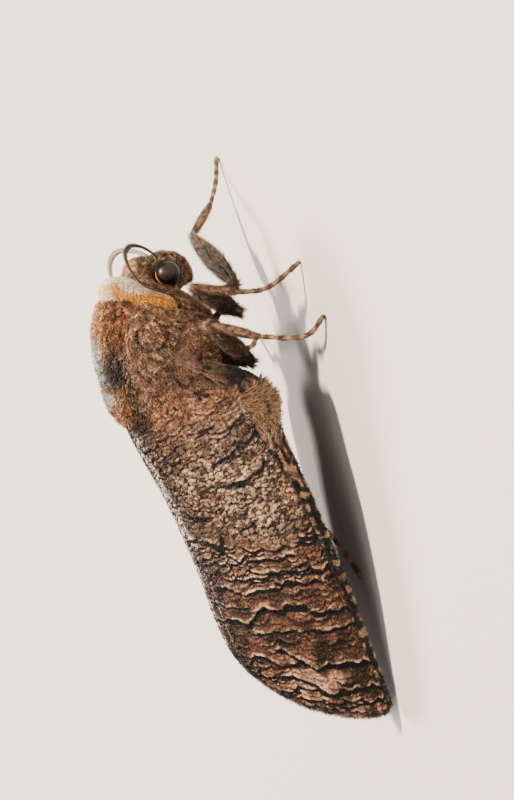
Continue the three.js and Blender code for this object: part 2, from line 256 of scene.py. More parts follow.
def thorax_colour(body):
    """Warm brown fur, ginger in front, black, white and ochre patches along the top."""
    x, _, z = body.T
    blotch = lumps(body, 1.6, 3)
    speck = lumps(body, 0.3, 4)
    grain = lumps(body, 0.15, 7)
    back = z - np.interp(x, [30, 33, 36, 38.5, 41, 43.4], [9.4, 10.3, 10.4, 10.2, 9.2, 7.6])
    front = smooth(x, 39.4, 40.8)
    straw = 0.75 * smooth(back, -0.2, 0.05) * smooth(x, 37.6, 38.8) * smooth(speck, -0.7, 0.1)
    dusted = smooth(back + 0.3 * blotch, 0.2, 0.5) * smooth(x, 36.8, 38.4) * smooth(speck, -0.5, 0.3)
    dust = mix(mix(CREAM, WARM_WHITE, smooth(grain, -0.5, 0.5)), mix(AMBER, CREAM, 0.4), front)
    frosty = smooth(back, 0.05, 0.45) * smooth(x, 35.8, 36.8) * (1 - 0.85 * front) * smooth(-speck, -0.4, 0.3)
    root = wing_root_share(x - 0.4 * blotch, z - 0.3 * speck)
    # where a painted shadow line runs along the thorax's lower side
    shadow_line = z - np.interp(x, [36.8, 40, 41], [4.0, 3.8, 4.6])
    c = layered(
        mix(RUSSET, GREY_BROWN, smooth(37.5 - x + 0.6 * blotch, -1.5, 3.5) * 0.6),
        (GINGER, 0.5 * smooth(lumps(body, 2.2, 5), 0.05, 0.6)),
        (GINGER, 0.6 * spot(x, z, (40.3, 7.4), (1.8, 2.2), 0.6)),
        (GINGER, 0.7 * spot(x, z, (40.3, 5.4), (0.8, 1.2), 0.5, 35)),
        (STRAW, straw),
        (dust, 0.75 * dusted),
        (BLUE_GREY, 0.7 * spot(x, z, (39.2, 10.9), (1.2, 0.6))),
        (PINK_GREY, 0.6 * spot(x, z, (36.9, 9.0), (1.2, 0.6), 0.6)),
        (SOOT, 0.97 * spot(x + 0.5 * speck, z + 0.4 * grain, (37.1, 10.1), (1.8, 1.0), 0.4, -6)),
        (mix(BLUE_GREY, FROST, 0.5), 0.9 * frosty),
        (FROST, 0.6 * spot(x, z + 0.4 * speck, (35.1, 11.1), (0.7, 0.6), 0.7)),
        (STRAW, 0.7 * spot(x, z + 0.3 * speck, (34.7, 10.3), (0.9, 0.5), 0.6)),
        (GINGER, 0.5 * spot(x, z, (32.8, 10.8), (1.6, 1.0))),
        (GREY_BROWN, 0.6 * smooth(6.5 - z, 0, 2.5)),
        # painted shade: darker low on the thorax, by the bases of the legs
        (DARK_COFFEE, 0.8 * smooth(2.2 + 0.5 * speck - z, 0, 1.2)),
        # painted shade in the groove round the pad over the wing's root
        (SOOT, 0.9 * near(from_pad(x, z) + 0.06 * speck - 1, 0.13)),
        # painted shadow along the thorax's lower side
        (SOOT, 0.7 * near(shadow_line, 0.14) * smooth(x, 36.5, 37.5)),
    )
    c = grainy(c, body, 0.25, 7, 1.6 * (1 - 0.4 * root))
    # darker high on the side and brighter low down; the brightening along the top edge is painted rim light
    return barky(c * (0.66 + 0.5 * smooth(8 - z, 0, 3.5) + 0.3 * smooth(back, 0, 0.4))[:, None], body, root)


def tegula_colour(body):
    """A round grooved pad over the wing's root."""
    x, _, z = body.T
    speck = lumps(body, 0.3, 9)
    # painted shade in the inner groove of the pad
    inner_groove_shade = 0.7 * near(from_pad(x + 0.45, z + 0.1) - 0.62, 0.1) * smooth(38.6 - x, -0.3, 0.4)
    c = layered(
        mix(RUSSET, GREY_BROWN, 0.45 + 0.4 * lumps(body, 0.8, 8)),
        # painted shade in the groove round the pad
        (SOOT, 0.95 * near(from_pad(x, z) + 0.06 * speck - 1, 0.13)),
        (SOOT, inner_groove_shade),
    )
    return grainy(c, body, 0.25, 9, 1.2)


def collar_colour(body):
    """Silvery white in front and on top, with an amber band that widens upwards behind."""
    x, _, z = body.T
    behind = 0.835 * x - 0.551 * z - 31.6 + 0.12 * lumps(body, 0.4, 11)
    speck = lumps(body, 0.25, 12)
    gold = AMBER * (1.1, 1.15, 0.9)
    shaded = 0.85 * smooth(5.6 - z + 0.4 * lumps(body, 0.5, 13), 0, 0.8) * smooth(behind, 0.55, 0.95)
    upper = 0.9 * near(z + 0.3 * speck - 6.95, 0.4) * (1 - smooth(behind + 0.4 * speck, 1.1, 1.6))
    band = (1 - smooth(behind, 0.55, 0.7)) * (1 - 0.9 * smooth(z + 0.3 * speck, 7.1, 7.6))
    c = layered(
        WARM_WHITE * 1.2,
        (PINK_GREY, 0.7 * smooth(speck + 0.5 - 0.6 * (z - 5), 0, 0.8)),
        (DARK_COFFEE, 0.65 * smooth(-speck, 0.25, 0.6) * (0.4 + 0.6 * smooth(7.0 - z, 0, 1.2))),
        (GREY_BROWN, shaded),
        (gold, upper),
        (mix(gold, CREAM, 0.2 * smooth(speck, -0.2, 0.6)), band),
    )
    return mix(c * 1.5, GREY_BROWN, 0.8 * smooth(3.75 - z, 0, 0.3))


def neck_colour(body):
    c = mix(COFFEE, GREY_BROWN, 0.5 + 0.4 * lumps(body, 0.6, 14))
    return grainy(c, body, 0.2, 15, 0.9)


def head_colour(body):
    """Speckled brown with pale tips, and a cream streak between the feelers."""
    x, _, z = body.T
    speck = lumps(body, 0.24, 17)
    c = layered(
        mix(RUSSET, GREY_BROWN, 0.7 + 0.3 * lumps(body, 0.7, 16)),
        (mix(CREAM, AMBER, 0.35), 0.85 * spot(x, z + 0.2 * speck, (44.7, 4.5), (0.35, 0.75), 0.6, 20)),
        (mix(CREAM, AMBER, 0.5), 0.6 * spot(x, z + 0.2 * speck, (44.1, 3.4), (0.3, 0.5), 0.6, 40)),
        # painted shadow at the feeler's base
        (SOOT, 0.9 * spot(x + 0.2 * speck, z, (44.5, 3.3), (0.8, 0.6), 0.6)),
    )
    # painted shade: the head darkens from its crown downwards
    c = grainy(c * (0.5 + 0.7 * smooth(z, 2.8, 4.8))[:, None], body, 0.24, 18, 1.6)
    rim = np.hypot(x - EYE[0], z - EYE[2])
    return mix(c, DARK_COFFEE, 0.7 * near(rim - 1.3, 0.14))


def abdomen_colour(body):
    """Grey-brown fur in rings, each with a paler rear edge."""
    ring = np.cos(2 * math.pi * (body[:, 0] - 8.6) / 3.4)
    c = mix(GREY_BROWN, DARK_COFFEE, 0.35 + 0.25 * lumps(body, 0.9, 20))
    return mix(c, PINK_GREY, 0.5 * smooth(ring + 0.5 * lumps(body, 0.5, 21), 0.55, 1.1))


# ---------------------------------------------------------------- skin
# The real body is one soft-skinned shell of plates and joints, from the tongue's stump to the
# feet. It is drawn over with one skin here, which lies under the tips of the coat by the
# coat's own depth, so that no seam shows between head, thorax, abdomen and legs.

NOT_FLESH = ("eye", "antenna", "forewing", "hindwing")
FLESH = sorted(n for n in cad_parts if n.split("_")[0] not in NOT_FLESH)
LEG_PARTS = ("coxa", "femur", "tibia", "tarsus")
CLOSES_GAPS = 0.07  # each piece is grown by this much before they are melted into one
GRAIN_OF_SKIN = 0.15  # the size of the skin's faces, in millimetres
COAT_DEPTH = {"thorax": 0.36, "tegula": 0.3, "collar": 0.2, "neck": 0.22, "head": 0.17, "palp": 0.1,
              "abdomen": 0.34, "coxa": 0.22, "femur": 0.2, "tibia": 0.13, "tarsus": 0.07}
BODY_TONE = 1.35  # the body's colours are this much brighter than the chart's
UNDERFUR_TONE = 0.62  # the skin between the tufts lies in their shade


def region_of(node):
    """The kind of part that a node is: coxa, femur, tibia and tarsus for the legs."""
    words = node.split("_")
    return words[-1] if "leg" in words[0] else words[0]


def numbers(items, field, width, kind=np.float32):
    """A field of a mesh's points, edges or sides as an array, with a row for each."""
    values = np.empty(len(items) * width, kind)
    items.foreach_get(field, values)
    return values.reshape(-1, width) if width > 1 else values


grown = bmesh.new()
side_nodes = []
node_frames = {}  # each node's middle and its long, broad and short directions
for index, name in enumerate(FLESH):
    piece = bmesh.new()
    piece.from_mesh(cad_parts[name].data)
    bmesh.ops.remove_doubles(piece, verts=piece.verts, dist=1e-7)
    bmesh.ops.scale(piece, vec=(1 / MM,) * 3, verts=piece.verts)
    piece.normal_update()
    spots = np.array([v.co for v in piece.verts])
    middle = spots.mean(0)
    axes = np.linalg.svd(spots - middle, full_matrices=False)[2]
    node_frames[name] = (middle, axes)
    for v in piece.verts:
        v.co += v.normal * CLOSES_GAPS
    melted = bpy.data.meshes.new(name + "_grown")
    piece.to_mesh(melted)
    piece.free()
    grown.from_mesh(melted)
    side_nodes += [index] * len(melted.polygons)
grown_mesh = bpy.data.meshes.new("grown")
grown.to_mesh(grown_mesh)
flesh_tree = BVHTree.FromBMesh(grown)
grown.free()

skin = bpy.data.objects.new("skin", grown_mesh)
bpy.context.scene.collection.objects.link(skin)
remesh = skin.modifiers.new("melt", "REMESH")
remesh.mode = "VOXEL"
remesh.voxel_size = GRAIN_OF_SKIN
remesh.adaptivity = 0
evaluated = skin.evaluated_get(bpy.context.evaluated_depsgraph_get())
skin_mesh = bpy.data.meshes.new_from_object(evaluated)
skin.modifiers.clear()
skin.data = skin_mesh
skin_mesh.name = "skin"

points = numbers(skin_mesh.vertices, "co", 3).astype(float)
edges = numbers(skin_mesh.edges, "vertices", 2, np.int32)
skin_node = np.array([side_nodes[flesh_tree.find_nearest(p)[2]] for p in points])
regions = sorted(COAT_DEPTH)
node_region = np.array([regions.index(region_of(n)) for n in FLESH])
skin_region = node_region[skin_node]
is_slim = np.isin(skin_region, [regions.index(r) for r in ("palp", *LEG_PARTS)])


def relaxed(points, edges, amount):
    """Each point moved towards the mean of its neighbours."""
    both = np.concatenate([edges, edges[:, ::-1]])
    count = np.bincount(both[:, 0], minlength=len(points))
    mean = np.stack([np.bincount(both[:, 0], points[both[:, 1], k], len(points)) for k in range(3)], 1)
    return points + amount[:, None] * (mean / np.maximum(count, 1)[:, None] - points)


# The steps of the voxels are smoothed out, and nearly as much is given back so that nothing shrinks.
for turn in range(16):
    points = relaxed(points, edges, np.where(is_slim, 0.5, 0.6))
    points = relaxed(points, edges, np.where(is_slim, -0.52, -0.3 if turn < 8 else -0.5))
skin_mesh.vertices.foreach_set("co", points.astype(np.float32).ravel())
skin_mesh.update()
outward = numbers(skin_mesh.vertex_normals, "vector", 3).astype(float)
depth = np.array([COAT_DEPTH[r] for r in regions])[skin_region] + CLOSES_GAPS
for _ in range(12):
    depth = relaxed(np.stack([depth] * 3, 1), edges, np.full(len(depth), 0.7))[:, 0]
points -= outward * depth[:, None]
skin_mesh.vertices.foreach_set("co", (points * MM).astype(np.float32).ravel())
skin_mesh.polygons.foreach_set("use_smooth", np.ones(len(skin_mesh.polygons), bool))
skin_mesh.update()


def foot_wards(name):
    """The direction of a leg part, from the body to the foot."""
    middle, axes = node_frames[name]
    leg, part = name.rsplit("_", 1)
    at = LEG_PARTS.index(part)
    if part == "tarsus":
        beyond = 2 * middle - node_frames[f"{leg}_{LEG_PARTS[at - 1]}"][0]
    else:
        beyond = node_frames[f"{leg}_{LEG_PARTS[at + 1]}"][0]
    return axes[0] if axes[0] @ (beyond - middle) > 0 else -axes[0]


def leg_share(points, nodes):
    """How far along its own leg part each point lies, from 0 at the body to 1 at the foot."""
    share = np.zeros(len(points))
    for index, name in enumerate(FLESH):
        mine = nodes == index
        if "leg" not in name or not mine.any():
            continue
        reach = (points[mine] - node_frames[name][0]) @ foot_wards(name)
        low, high = np.percentile(reach, 1), np.percentile(reach, 99)
        share[mine] = np.clip((reach - low) / (high - low), 0, 1)
    return share


LEG_COLOURS = {"coxa": paint(92, 64, 46), "femur": paint(92, 62, 46), "tibia": paint(158, 122, 98),
               "tarsus": paint(160, 130, 108)}


def leg_colour(region, share, row):
    """Brown thighs and hips with black blotches of painted shade, pale knees, and tan shins and feet with
    faint rings.
    """
    speck = lumps(row, 0.22, 23)
    c = np.broadcast_to(LEG_COLOURS[region], (len(share), 3))
    c = layered(c, (CREAM, 0.4 * smooth(speck, 0.25, 0.7)), (DARK_COFFEE, 0.7 * smooth(-speck, 0.1, 0.5)))
    if region == "femur":
        # painted shade: black blotches on the thigh, fading out before the knee
        shade_blotch = 0.85 * smooth(lumps(row, 1.1, 24) + 0.4, 0.1, 0.6) * (1 - smooth(share, 0.8, 0.95))
        c = layered(c, (SOOT, shade_blotch), (PINK_GREY, 0.6 * smooth(share, 0.86, 0.96)))
    if region == "coxa":
        # painted shade: black blotches on the hip
        c = mix(c, SOOT, 0.8 * smooth(lumps(row, 0.9, 25) + 0.4, 0.1, 0.6))
    if region == "tibia":
        c = mix(c, DARK_COFFEE, 0.6 * (1 - smooth(share, 0.04, 0.14)) + 0.5 * smooth(share, 0.88, 0.96))
    if region == "tarsus":
        ring = np.sin(2 * math.pi * 5 * share - 0.6)
        c = layered(c, (DARK_COFFEE, 0.6 * smooth(ring, 0.1, 0.7)), (CREAM, 0.4 * smooth(-ring, 0.5, 0.95)))
    return c


COLOUR_OF = {"thorax": thorax_colour, "tegula": tegula_colour, "collar": collar_colour,
             "neck": neck_colour, "head": head_colour, "palp": head_colour, "abdomen": abdomen_colour}


def coat_colour(row_mm, nodes, shares):
    """The colour of the coat at points of the skin, given in millimetres in the studio's frame."""
    body = to_body(row_mm * MM)
    colour = np.zeros((len(row_mm), 3))
    for k, region in enumerate(regions):
        mine = node_region[nodes] == k
        if not mine.any():
            continue
        if region in COLOUR_OF:
            colour[mine] = COLOUR_OF[region](body[mine]) * BODY_TONE
        else:
            colour[mine] = leg_colour(region, shares[mine], row_mm[mine])
    return np.maximum(colour * np.minimum(1, 0.92 / colour.max(-1, keepdims=True)), 0.004)


def paint_points(mesh, colour):
    """Stores one colour for each point of a mesh, for its material to read."""
    layer = mesh.attributes.new("coat", "FLOAT_COLOR", "POINT")
    opaque = np.concatenate([colour, np.ones((len(colour), 1))], 1)
    layer.data.foreach_set("color", opaque.astype(np.float32).ravel())


def mottle_group():
    """Fine uneven tone and roughness of surface, which skin, fur, scales and wings share."""
    group = bpy.data.node_groups.new("mottle", "ShaderNodeTree")
    number, colour = "NodeSocketFloat", "NodeSocketColor"
    for name, way, kind in (("Colour", "INPUT", colour), ("Fineness", "INPUT", number),
                            ("Depth", "INPUT", number), ("Colour", "OUTPUT", colour),
                            ("Height", "OUTPUT", number)):
        group.interface.new_socket(name, in_out=way, socket_type=kind)
    kinds = {"entry": "NodeGroupInput", "leave": "NodeGroupOutput", "where": "ShaderNodeTexCoord",
             "noise": "ShaderNodeTexNoise", "spread": "ShaderNodeMapRange", "change": "ShaderNodeMath",
             "tone": "ShaderNodeVectorMath"}
    node = {name: group.nodes.new(kind) for name, kind in kinds.items()}
    put(node["noise"], Detail=3, Roughness=0.65)
    put(node["spread"], From_Min=0.3, From_Max=0.7, To_Min=-1)
    node["change"].operation = "MULTIPLY_ADD"
    node["change"].inputs[2].default_value = 1
    node["tone"].operation = "SCALE"
    for giver, output, taker, socket in (
        ("where", "Object", "noise", "Vector"), ("entry", "Fineness", "noise", "Scale"),
        ("noise", "Fac", "spread", "Value"), ("spread", "Result", "change", 0),
        ("entry", "Depth", "change", 1), ("change", "Value", "tone", "Scale"),
        ("entry", "Colour", "tone", 0), ("tone", "Vector", "leave", "Colour"),
        ("noise", "Fac", "leave", "Height"),
    ):
        group.links.new(node[giver].outputs[output], node[taker].inputs[socket])
    return group


MOTTLE = mottle_group()


def coat_finish(name, roughness, fineness, depth, relief, sheen=0.0):
    """A finish that takes its colour from the piece's own points."""
    material, tree, shader = finish_of(name, (0.2, 0.13, 0.08), roughness)
    own = tree.nodes.new("ShaderNodeAttribute")
    own.attribute_name = "coat"
    mottle = tree.nodes.new("ShaderNodeGroup")
    mottle.node_tree = MOTTLE
    put(mottle, Fineness=fineness, Depth=depth)
    bump = tree.nodes.new("ShaderNodeBump")
    put(bump, Strength=1, Distance=relief)
    put(shader, Sheen_Weight=sheen, Sheen_Roughness=0.4, Specular_IOR_Level=0.3)
    tree.links.new(own.outputs["Color"], mottle.inputs["Colour"])
    tree.links.new(mottle.outputs["Colour"], shader.inputs["Base Color"])
    tree.links.new(mottle.outputs["Height"], bump.inputs["Height"])
    tree.links.new(bump.outputs["Normal"], shader.inputs["Normal"])
    return material


def dressed(piece, finish, slot, *nodes):
    """Gives a piece its finish and fixes it to the moth in place of the named nodes."""
    piece.data.materials.append(finish)
    if piece.name not in bpy.context.scene.collection.objects:
        bpy.context.scene.collection.objects.link(piece)
    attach(piece, "root")
    if nodes:
        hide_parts(*nodes)
    return piece


skin_share = leg_share(points, skin_node)
skin_colour = coat_colour(points, skin_node, skin_share)
paint_points(skin_mesh, skin_colour * UNDERFUR_TONE)
dressed(skin, coat_finish("short_underfur", 0.9, 7000, 0.5, 0.00008), "thorax_fur", *FLESH)

# ---------------------------------------------------------------- fur of the body
# Moth fur is long narrow scales. They grow from the skin in overlapping tufts that lie back
# along the body, short on the face and feet, long on the thorax and thighs.

dice = np.random.default_rng(21)

skin_mesh.calc_loop_triangles()
skin_tris = numbers(skin_mesh.loop_triangles, "vertices", 3, np.int32)
skin_normals = numbers(skin_mesh.vertex_normals, "vector", 3).astype(float)


def unit(vectors):
    return vectors / np.maximum(np.linalg.norm(vectors, axis=-1, keepdims=True), 1e-9)


def roots_on_skin(names, count):
    """Random places on the skin of those nodes: place, outward direction, node and leg share."""
    wanted = np.isin(skin_node, [FLESH.index(n) for n in names])
    tris = skin_tris[wanted[skin_tris].all(1)]
    a, b, c = (points[tris[:, k]] for k in range(3))
    area = np.linalg.norm(np.cross(b - a, c - a), axis=1)
    chosen = tris[dice.choice(len(tris), count, p=area / area.sum())]
    r, s = np.sqrt(dice.random(count)), dice.random(count)
    parts = np.stack([1 - r, r * (1 - s), r * s], 1)[..., None]
    place = (points[chosen] * parts).sum(1)
    normal = unit((skin_normals[chosen] * parts).sum(1))
    share = (skin_share[chosen] * parts[..., 0]).sum(1)
    return place, normal, skin_node[chosen[:, 0]], share


INSET, SPAN = 0.004, 0.992  # a map keeps this far from its edges, and spans so much


def chart(names, place, nodes):
    """An unwrap of the skin: each node's own length and girth, in one square of a grid."""
    per_row = math.ceil(math.sqrt(len(names)))
    flat = np.zeros((len(place), 2))
    for k, name in enumerate(names):
        mine = nodes == FLESH.index(name)
        if not mine.any():
            continue
        middle, axes = node_frames[name]
        q = (place[mine] - middle) @ axes.T
        length = (q[:, 0] - q[:, 0].min()) / max(np.ptp(q[:, 0]), 1e-9)
        girth = np.arctan2(q[:, 2], q[:, 1]) / (2 * math.pi) + 0.5
        corner = np.array([k % per_row, k // per_row])
        flat[mine] = (corner + 0.03 + 0.94 * np.stack([length, girth], 1)) / per_row
    rows = math.ceil(len(names) / per_row)
    flat[:, 1] *= per_row / rows
    return INSET + SPAN * flat


# Each form of tuft is given by its corners (across, along, thick and share of the lift), its
# sides and its corners' places on its patch of the map.
HAIR = (  # a long three-sided spike with a bend in it
    np.array([[-1, 0, 0, 0], [1, 0, 0, 0], [0, 0, 1, 0], [-0.8, 0.5, 0, 0.75], [0.8, 0.5, 0, 0.75],
              [0, 0.5, 0.8, 0.75], [0, 1, 0, 1]]),
    np.array([[0, 1, 4], [0, 4, 3], [1, 2, 5], [1, 5, 4], [2, 0, 3], [2, 3, 5], [3, 4, 6], [4, 5, 6],
              [5, 3, 6], [0, 2, 1]]),
    np.array([[-1, -1], [1, -1], [0, -0.7], [-1, 0], [1, 0], [0, 0.25], [0, 1]]),
)
SHORT_HAIR = (  # a straight three-sided spike
    np.array([[-1, 0, 0, 0], [1, 0, 0, 0], [0, 0, 1, 0], [0, 1, 0, 1]], float),
    np.array([[0, 1, 3], [1, 2, 3], [2, 0, 3], [0, 2, 1]]),
    np.array([[-1, -1], [1, -1], [0, -0.5], [0, 1]]),
)
SPECK = (  # a blunt short hair, widest near its tip
    np.array([[0, 0, 0, 0], [-1, 0.7, 0, 0.75], [0, 1, 0, 1], [1, 0.7, 0, 0.75], [0, 0.6, 1, 0.7]]),
    np.array([[0, 4, 1], [1, 4, 2], [2, 4, 3], [3, 4, 0], [0, 1, 2], [0, 2, 3]]),
    np.array([[0, -1], [-1, 0.3], [0, 1], [1, 0.3], [0, 0.1]]),
)
LEAF = (  # a flat scale, narrow at the root and blunt at its end, with a low ridge along it
    np.array([[0, 0, 0, 0], [-1, 0.62, 0, 0.7], [-0.45, 1, 0, 1], [0.45, 1, 0, 1], [1, 0.62, 0, 0.7],
              [0, 0.6, 1, 0.7]]),
    np.array([[0, 5, 1], [1, 5, 2], [2, 5, 3], [3, 5, 4], [4, 5, 0], [0, 1, 2], [0, 2, 3], [0, 3, 4]]),
    np.array([[0, -1], [-1, 0.3], [-0.5, 1], [0.5, 1], [1, 0.3], [0, 0.2]]),
)
PATCH = 0.0015  # half the breadth of a tuft's patch on the map
HIGHLIGHT_PALE = paint(232, 202, 172)  # the colour of the painted highlight on hair tips


def add_map(mesh, spots):
    """The map of a piece, from a place on it for each corner of each side."""
    layer = mesh.uv_layers.new(name="OFBake")
    layer.uv.foreach_set("vector", spots.astype(np.float32).ravel())


def joined(name, corners, sides):
    """One mesh from arrays of corners and three-cornered sides."""
    mesh = bpy.data.meshes.new(name)
    mesh.vertices.add(len(corners))
    mesh.vertices.foreach_set("co", corners.astype(np.float32).ravel())
    mesh.loops.add(sides.size)
    mesh.loops.foreach_set("vertex_index", sides.astype(np.int32).ravel())
    mesh.polygons.add(len(sides))
    mesh.polygons.foreach_set("loop_start", np.arange(0, sides.size, 3, dtype=np.int32))
    mesh.update(calc_edges=True)
    return mesh


def tufts(name, form, place, normal, lie, length, width, lift, colour, flat, bed=0.03, tip_highlight=0.0):
    """Grows one tuft or scale at each place. All sizes are in millimetres, lift in radians."""
    shape, shape_sides, patch = form
    count, per = len(place), len(shape)
    lie = unit(lie - (lie * normal).sum(1, keepdims=True) * normal)
    beside = np.cross(normal, lie)
    across, ahead, thick, rise = (shape[:, k][None, :, None] for k in range(4))
    size, breadth, lift = (a[:, None, None] for a in (length, width, lift))
    corners = (place - normal * bed)[:, None] + beside[:, None] * across * breadth / 2
    corners = corners + lie[:, None] * ahead * size * np.cos(lift)
    corners = corners + normal[:, None] * (rise * size * np.sin(lift) + thick * breadth * 0.3)
    corners[..., 2] = np.maximum(corners[..., 2], 0)
    sides = shape_sides[None] + np.arange(count)[:, None, None] * per
    mesh = joined(name, corners.reshape(-1, 3) * MM, sides.reshape(-1, 3))
    shade = (0.36 + 0.84 * shape[:, 1])[None, :, None]  # painted shade at the root, painted highlight at the tip
    # painted highlight: each tuft's tip is blended towards a pale colour by its own share
    highlighted = np.asarray(tip_highlight)[..., None, None] * smooth(shape[:, 1], 0.5, 1)[None, :, None]
    tone = colour[:, None] * shade
    paint_points(mesh, np.clip(tone + (HIGHLIGHT_PALE - tone) * highlighted, 0, 1).reshape(-1, 3))
    spots = (flat[:, None] + patch[None] * PATCH).reshape(-1, 2)
    add_map(mesh, spots[sides.ravel()])
    return bpy.data.objects.new(name, mesh)


BACKWARDS = -RISEN[:, 0]
UPWARDS = RISEN[:, 2]


def body_lie(place, nodes):
    """Which way the coat lies: back along the trunk, out over the face, down the legs."""
    body = to_body(place * MM)
    z = body[:, 2]
    lie = np.tile(BACKWARDS, (len(place), 1))
    region = node_region[nodes]

    def on(*names):
        return np.isin(region, [regions.index(n) for n in names])[:, None]

    low = smooth(6.5 - z, 0, 5)[:, None]
    lie = np.where(on("thorax", "tegula"), BACKWARDS - UPWARDS * (0.15 + 0.55 * low), lie)
    fluff = unit(body - (42.3, 0, 1.8)) @ RISEN.T
    crown = smooth(z, 2.6, 4.2)[:, None]
    face = -BACKWARDS * 0.5 - UPWARDS + 0.3 * fluff
    lie = np.where(on("head"), face * (1 - crown) + (UPWARDS + 0.2 * BACKWARDS) * crown, lie)
    lie = np.where(on("palp"), -BACKWARDS + 0.5 * UPWARDS, lie)
    lie = np.where(on("neck"), BACKWARDS + 0.4 * UPWARDS, lie)
    for index, name in enumerate(FLESH):
        if "leg" in name:
            lie = np.where((nodes == index)[:, None], foot_wards(name), lie)
    return lie + 0.22 * dice.normal(size=lie.shape)


LEGS = [n for n in FLESH if "leg" in n and "tarsus" not in n]
FEET = [n for n in FLESH if "tarsus" in n]
TRUNK = ["thorax", "tegula_right", "tegula_left"]
# Each coat's form, nodes, tufts, length, width, lift in degrees, share of painted highlight on the tips and
# slot.
FUR = {
    "thorax_fur": (SPECK, TRUNK, 33000, 0.4, 0.11, 46, 0.6, "thorax_fur"),
    "collar_fur": (SPECK, ["collar"], 9000, 0.38, 0.085, 42, 0.35, "collar_fur"),
    "neck_fur": (SPECK, ["neck"], 4500, 0.3, 0.09, 46, 0.6, "neck_fur"),
    "head_fur": (SPECK, ["head", "palp_right", "palp_left"], 14500, 0.28, 0.08, 50, 0.75, "head_fur"),
    "abdomen_fur": (HAIR, ["abdomen"], 6500, 0.95, 0.11, 15, 0.4, "abdomen_fur"),
    "leg_fur": (SHORT_HAIR, LEGS, 29000, 0.52, 0.062, 24, 0.25, "leg_fur"),
    "foot_scales": (SPECK, FEET, 6500, 0.2, 0.075, 18, 0.3, "foot"),
}
LONGER = {"femur": 1.4, "coxa": 1.5, "tibia": 0.7}
STRAGGLERS = 0.08  # share of the hairs that stand well clear of the coat
BARE_ROUND_EYE, SHORT_ROUND_EYE = 1.16, 1.8  # no hair, and only short hair, so near an eye's middle
fur_finish = coat_finish("fur", 0.62, 16000, 0.22, 0.00001, sheen=0.25)
eyes_at = [RISEN @ (EYE * (1, side, 1)) + ORIGIN for side in (-1, 1)]
for name, (form, nodes, count, length, width, lift, tip_highlight, slot) in FUR.items():
    place, normal, node, share = roots_on_skin(nodes, count)
    from_eye = np.min([np.linalg.norm(place - e, axis=1) for e in eyes_at], axis=0)
    keep = from_eye > BARE_ROUND_EYE
    place, normal, node, share, from_eye = (a[keep] for a in (place, normal, node, share, from_eye))
    n = len(place)
    long = length * dice.uniform(0.65, 1.15, n)
    for region, factor in LONGER.items():
        long = np.where(node_region[node] == regions.index(region), long * factor, long)
    long = np.where(from_eye < SHORT_ROUND_EYE, long * 0.55, long)
    wide = width * dice.uniform(0.7, 1.2, n)
    rise = np.radians(lift) * dice.uniform(0.4, 1.6, n)
    stray = dice.random(n) < STRAGGLERS
    wide, rise = np.where(stray, wide * 0.45, wide), np.where(stray, rise + 0.4, rise)
    body = to_body(place * MM)
    x, _, z = body.T
    root = wing_root_share(x, z) * (slot == "thorax_fur")
    groove = near(from_pad(x, z) - 0.95, 0.22) * (slot == "thorax_fur")
    long = long * (1 - 0.25 * root) * (1 - 0.6 * groove)
    rise = rise * (1 - 0.45 * root) * (1 - 0.5 * groove)
    darkest = -0.7 if slot == "collar_fur" else -1.2
    colour = coat_colour(place, node, share) * 2 ** dice.uniform(darkest, 0.7, (n, 1))
    place = place + normal * (root * (0.1 + 0.12 * np.clip(crinkles(body), -1, 1)))[:, None]
    # painted highlight on the tips, stronger on the hairs that stand clear of the coat
    pale = tip_highlight * dice.random(n) ** 1.5 * np.where(stray, 1.4, 1) * (1 - 0.5 * root)
    lie, flat = body_lie(place, node), chart(nodes, place, node)
    coat = tufts(name, form, place, normal, lie, long, wide, rise, colour, flat, tip_highlight=pale)
    dressed(coat, fur_finish, slot)

# ---------------------------------------------------------------- eyes
# Each eye is a round cap of clear facets over dark cells, set in a socket of bare horn. It looks
# nearly black at the edge, and a grey-brown disc in its middle is a painted reflection. A ginger
# line of scales edges the socket above it.

SIDE = {"right": -1, "left": 1}
EYE_SIZE = np.array([1.07, 1.03, 1.07])
SOCKET_RADIUS, SOCKET_THICKNESS, SOCKET_OUT = 1.1, 0.062, 0.1


def smooth_piece(bm, name):
    """A smooth-shaded object from bm, whose points are in metres on the floor."""
    bmesh.ops.recalc_face_normals(bm, faces=bm.faces)
    for face in bm.faces:
        face.smooth = True
    mesh = bpy.data.meshes.new(name)
    bm.to_mesh(mesh)
    bm.free()
    return bpy.data.objects.new(name, mesh)


def finished(bm, name):
    """A smooth-shaded object from bm, whose points are in body millimetres, and those points."""
    body = np.array([v.co for v in bm.verts])
    for v, place in zip(bm.verts, to_row(body)):
        v.co = place
    return smooth_piece(bm, name), body


def eyeball(label):
    bm = bmesh.new()
    bmesh.ops.create_uvsphere(bm, u_segments=56, v_segments=36, radius=1)
    middle = EYE * (1, SIDE[label], 1)
    for v in bm.verts:
        v.co = middle + EYE_SIZE * (v.co.x, v.co.z, v.co.y)
    ball, body = finished(bm, f"eye_{label}_facets")
    # painted reflection: a grey-brown disc on the side that faces out and a little up
    facing = unit(body - middle) @ unit(np.array([0.1, SIDE[label], 0.34]))
    pale = 1 - smooth(np.arccos(np.clip(facing, -1, 1)), 0.66, 0.8)
    paint_points(ball.data, mix(paint(14, 11, 9), paint(48, 37, 30), pale))
    return ball


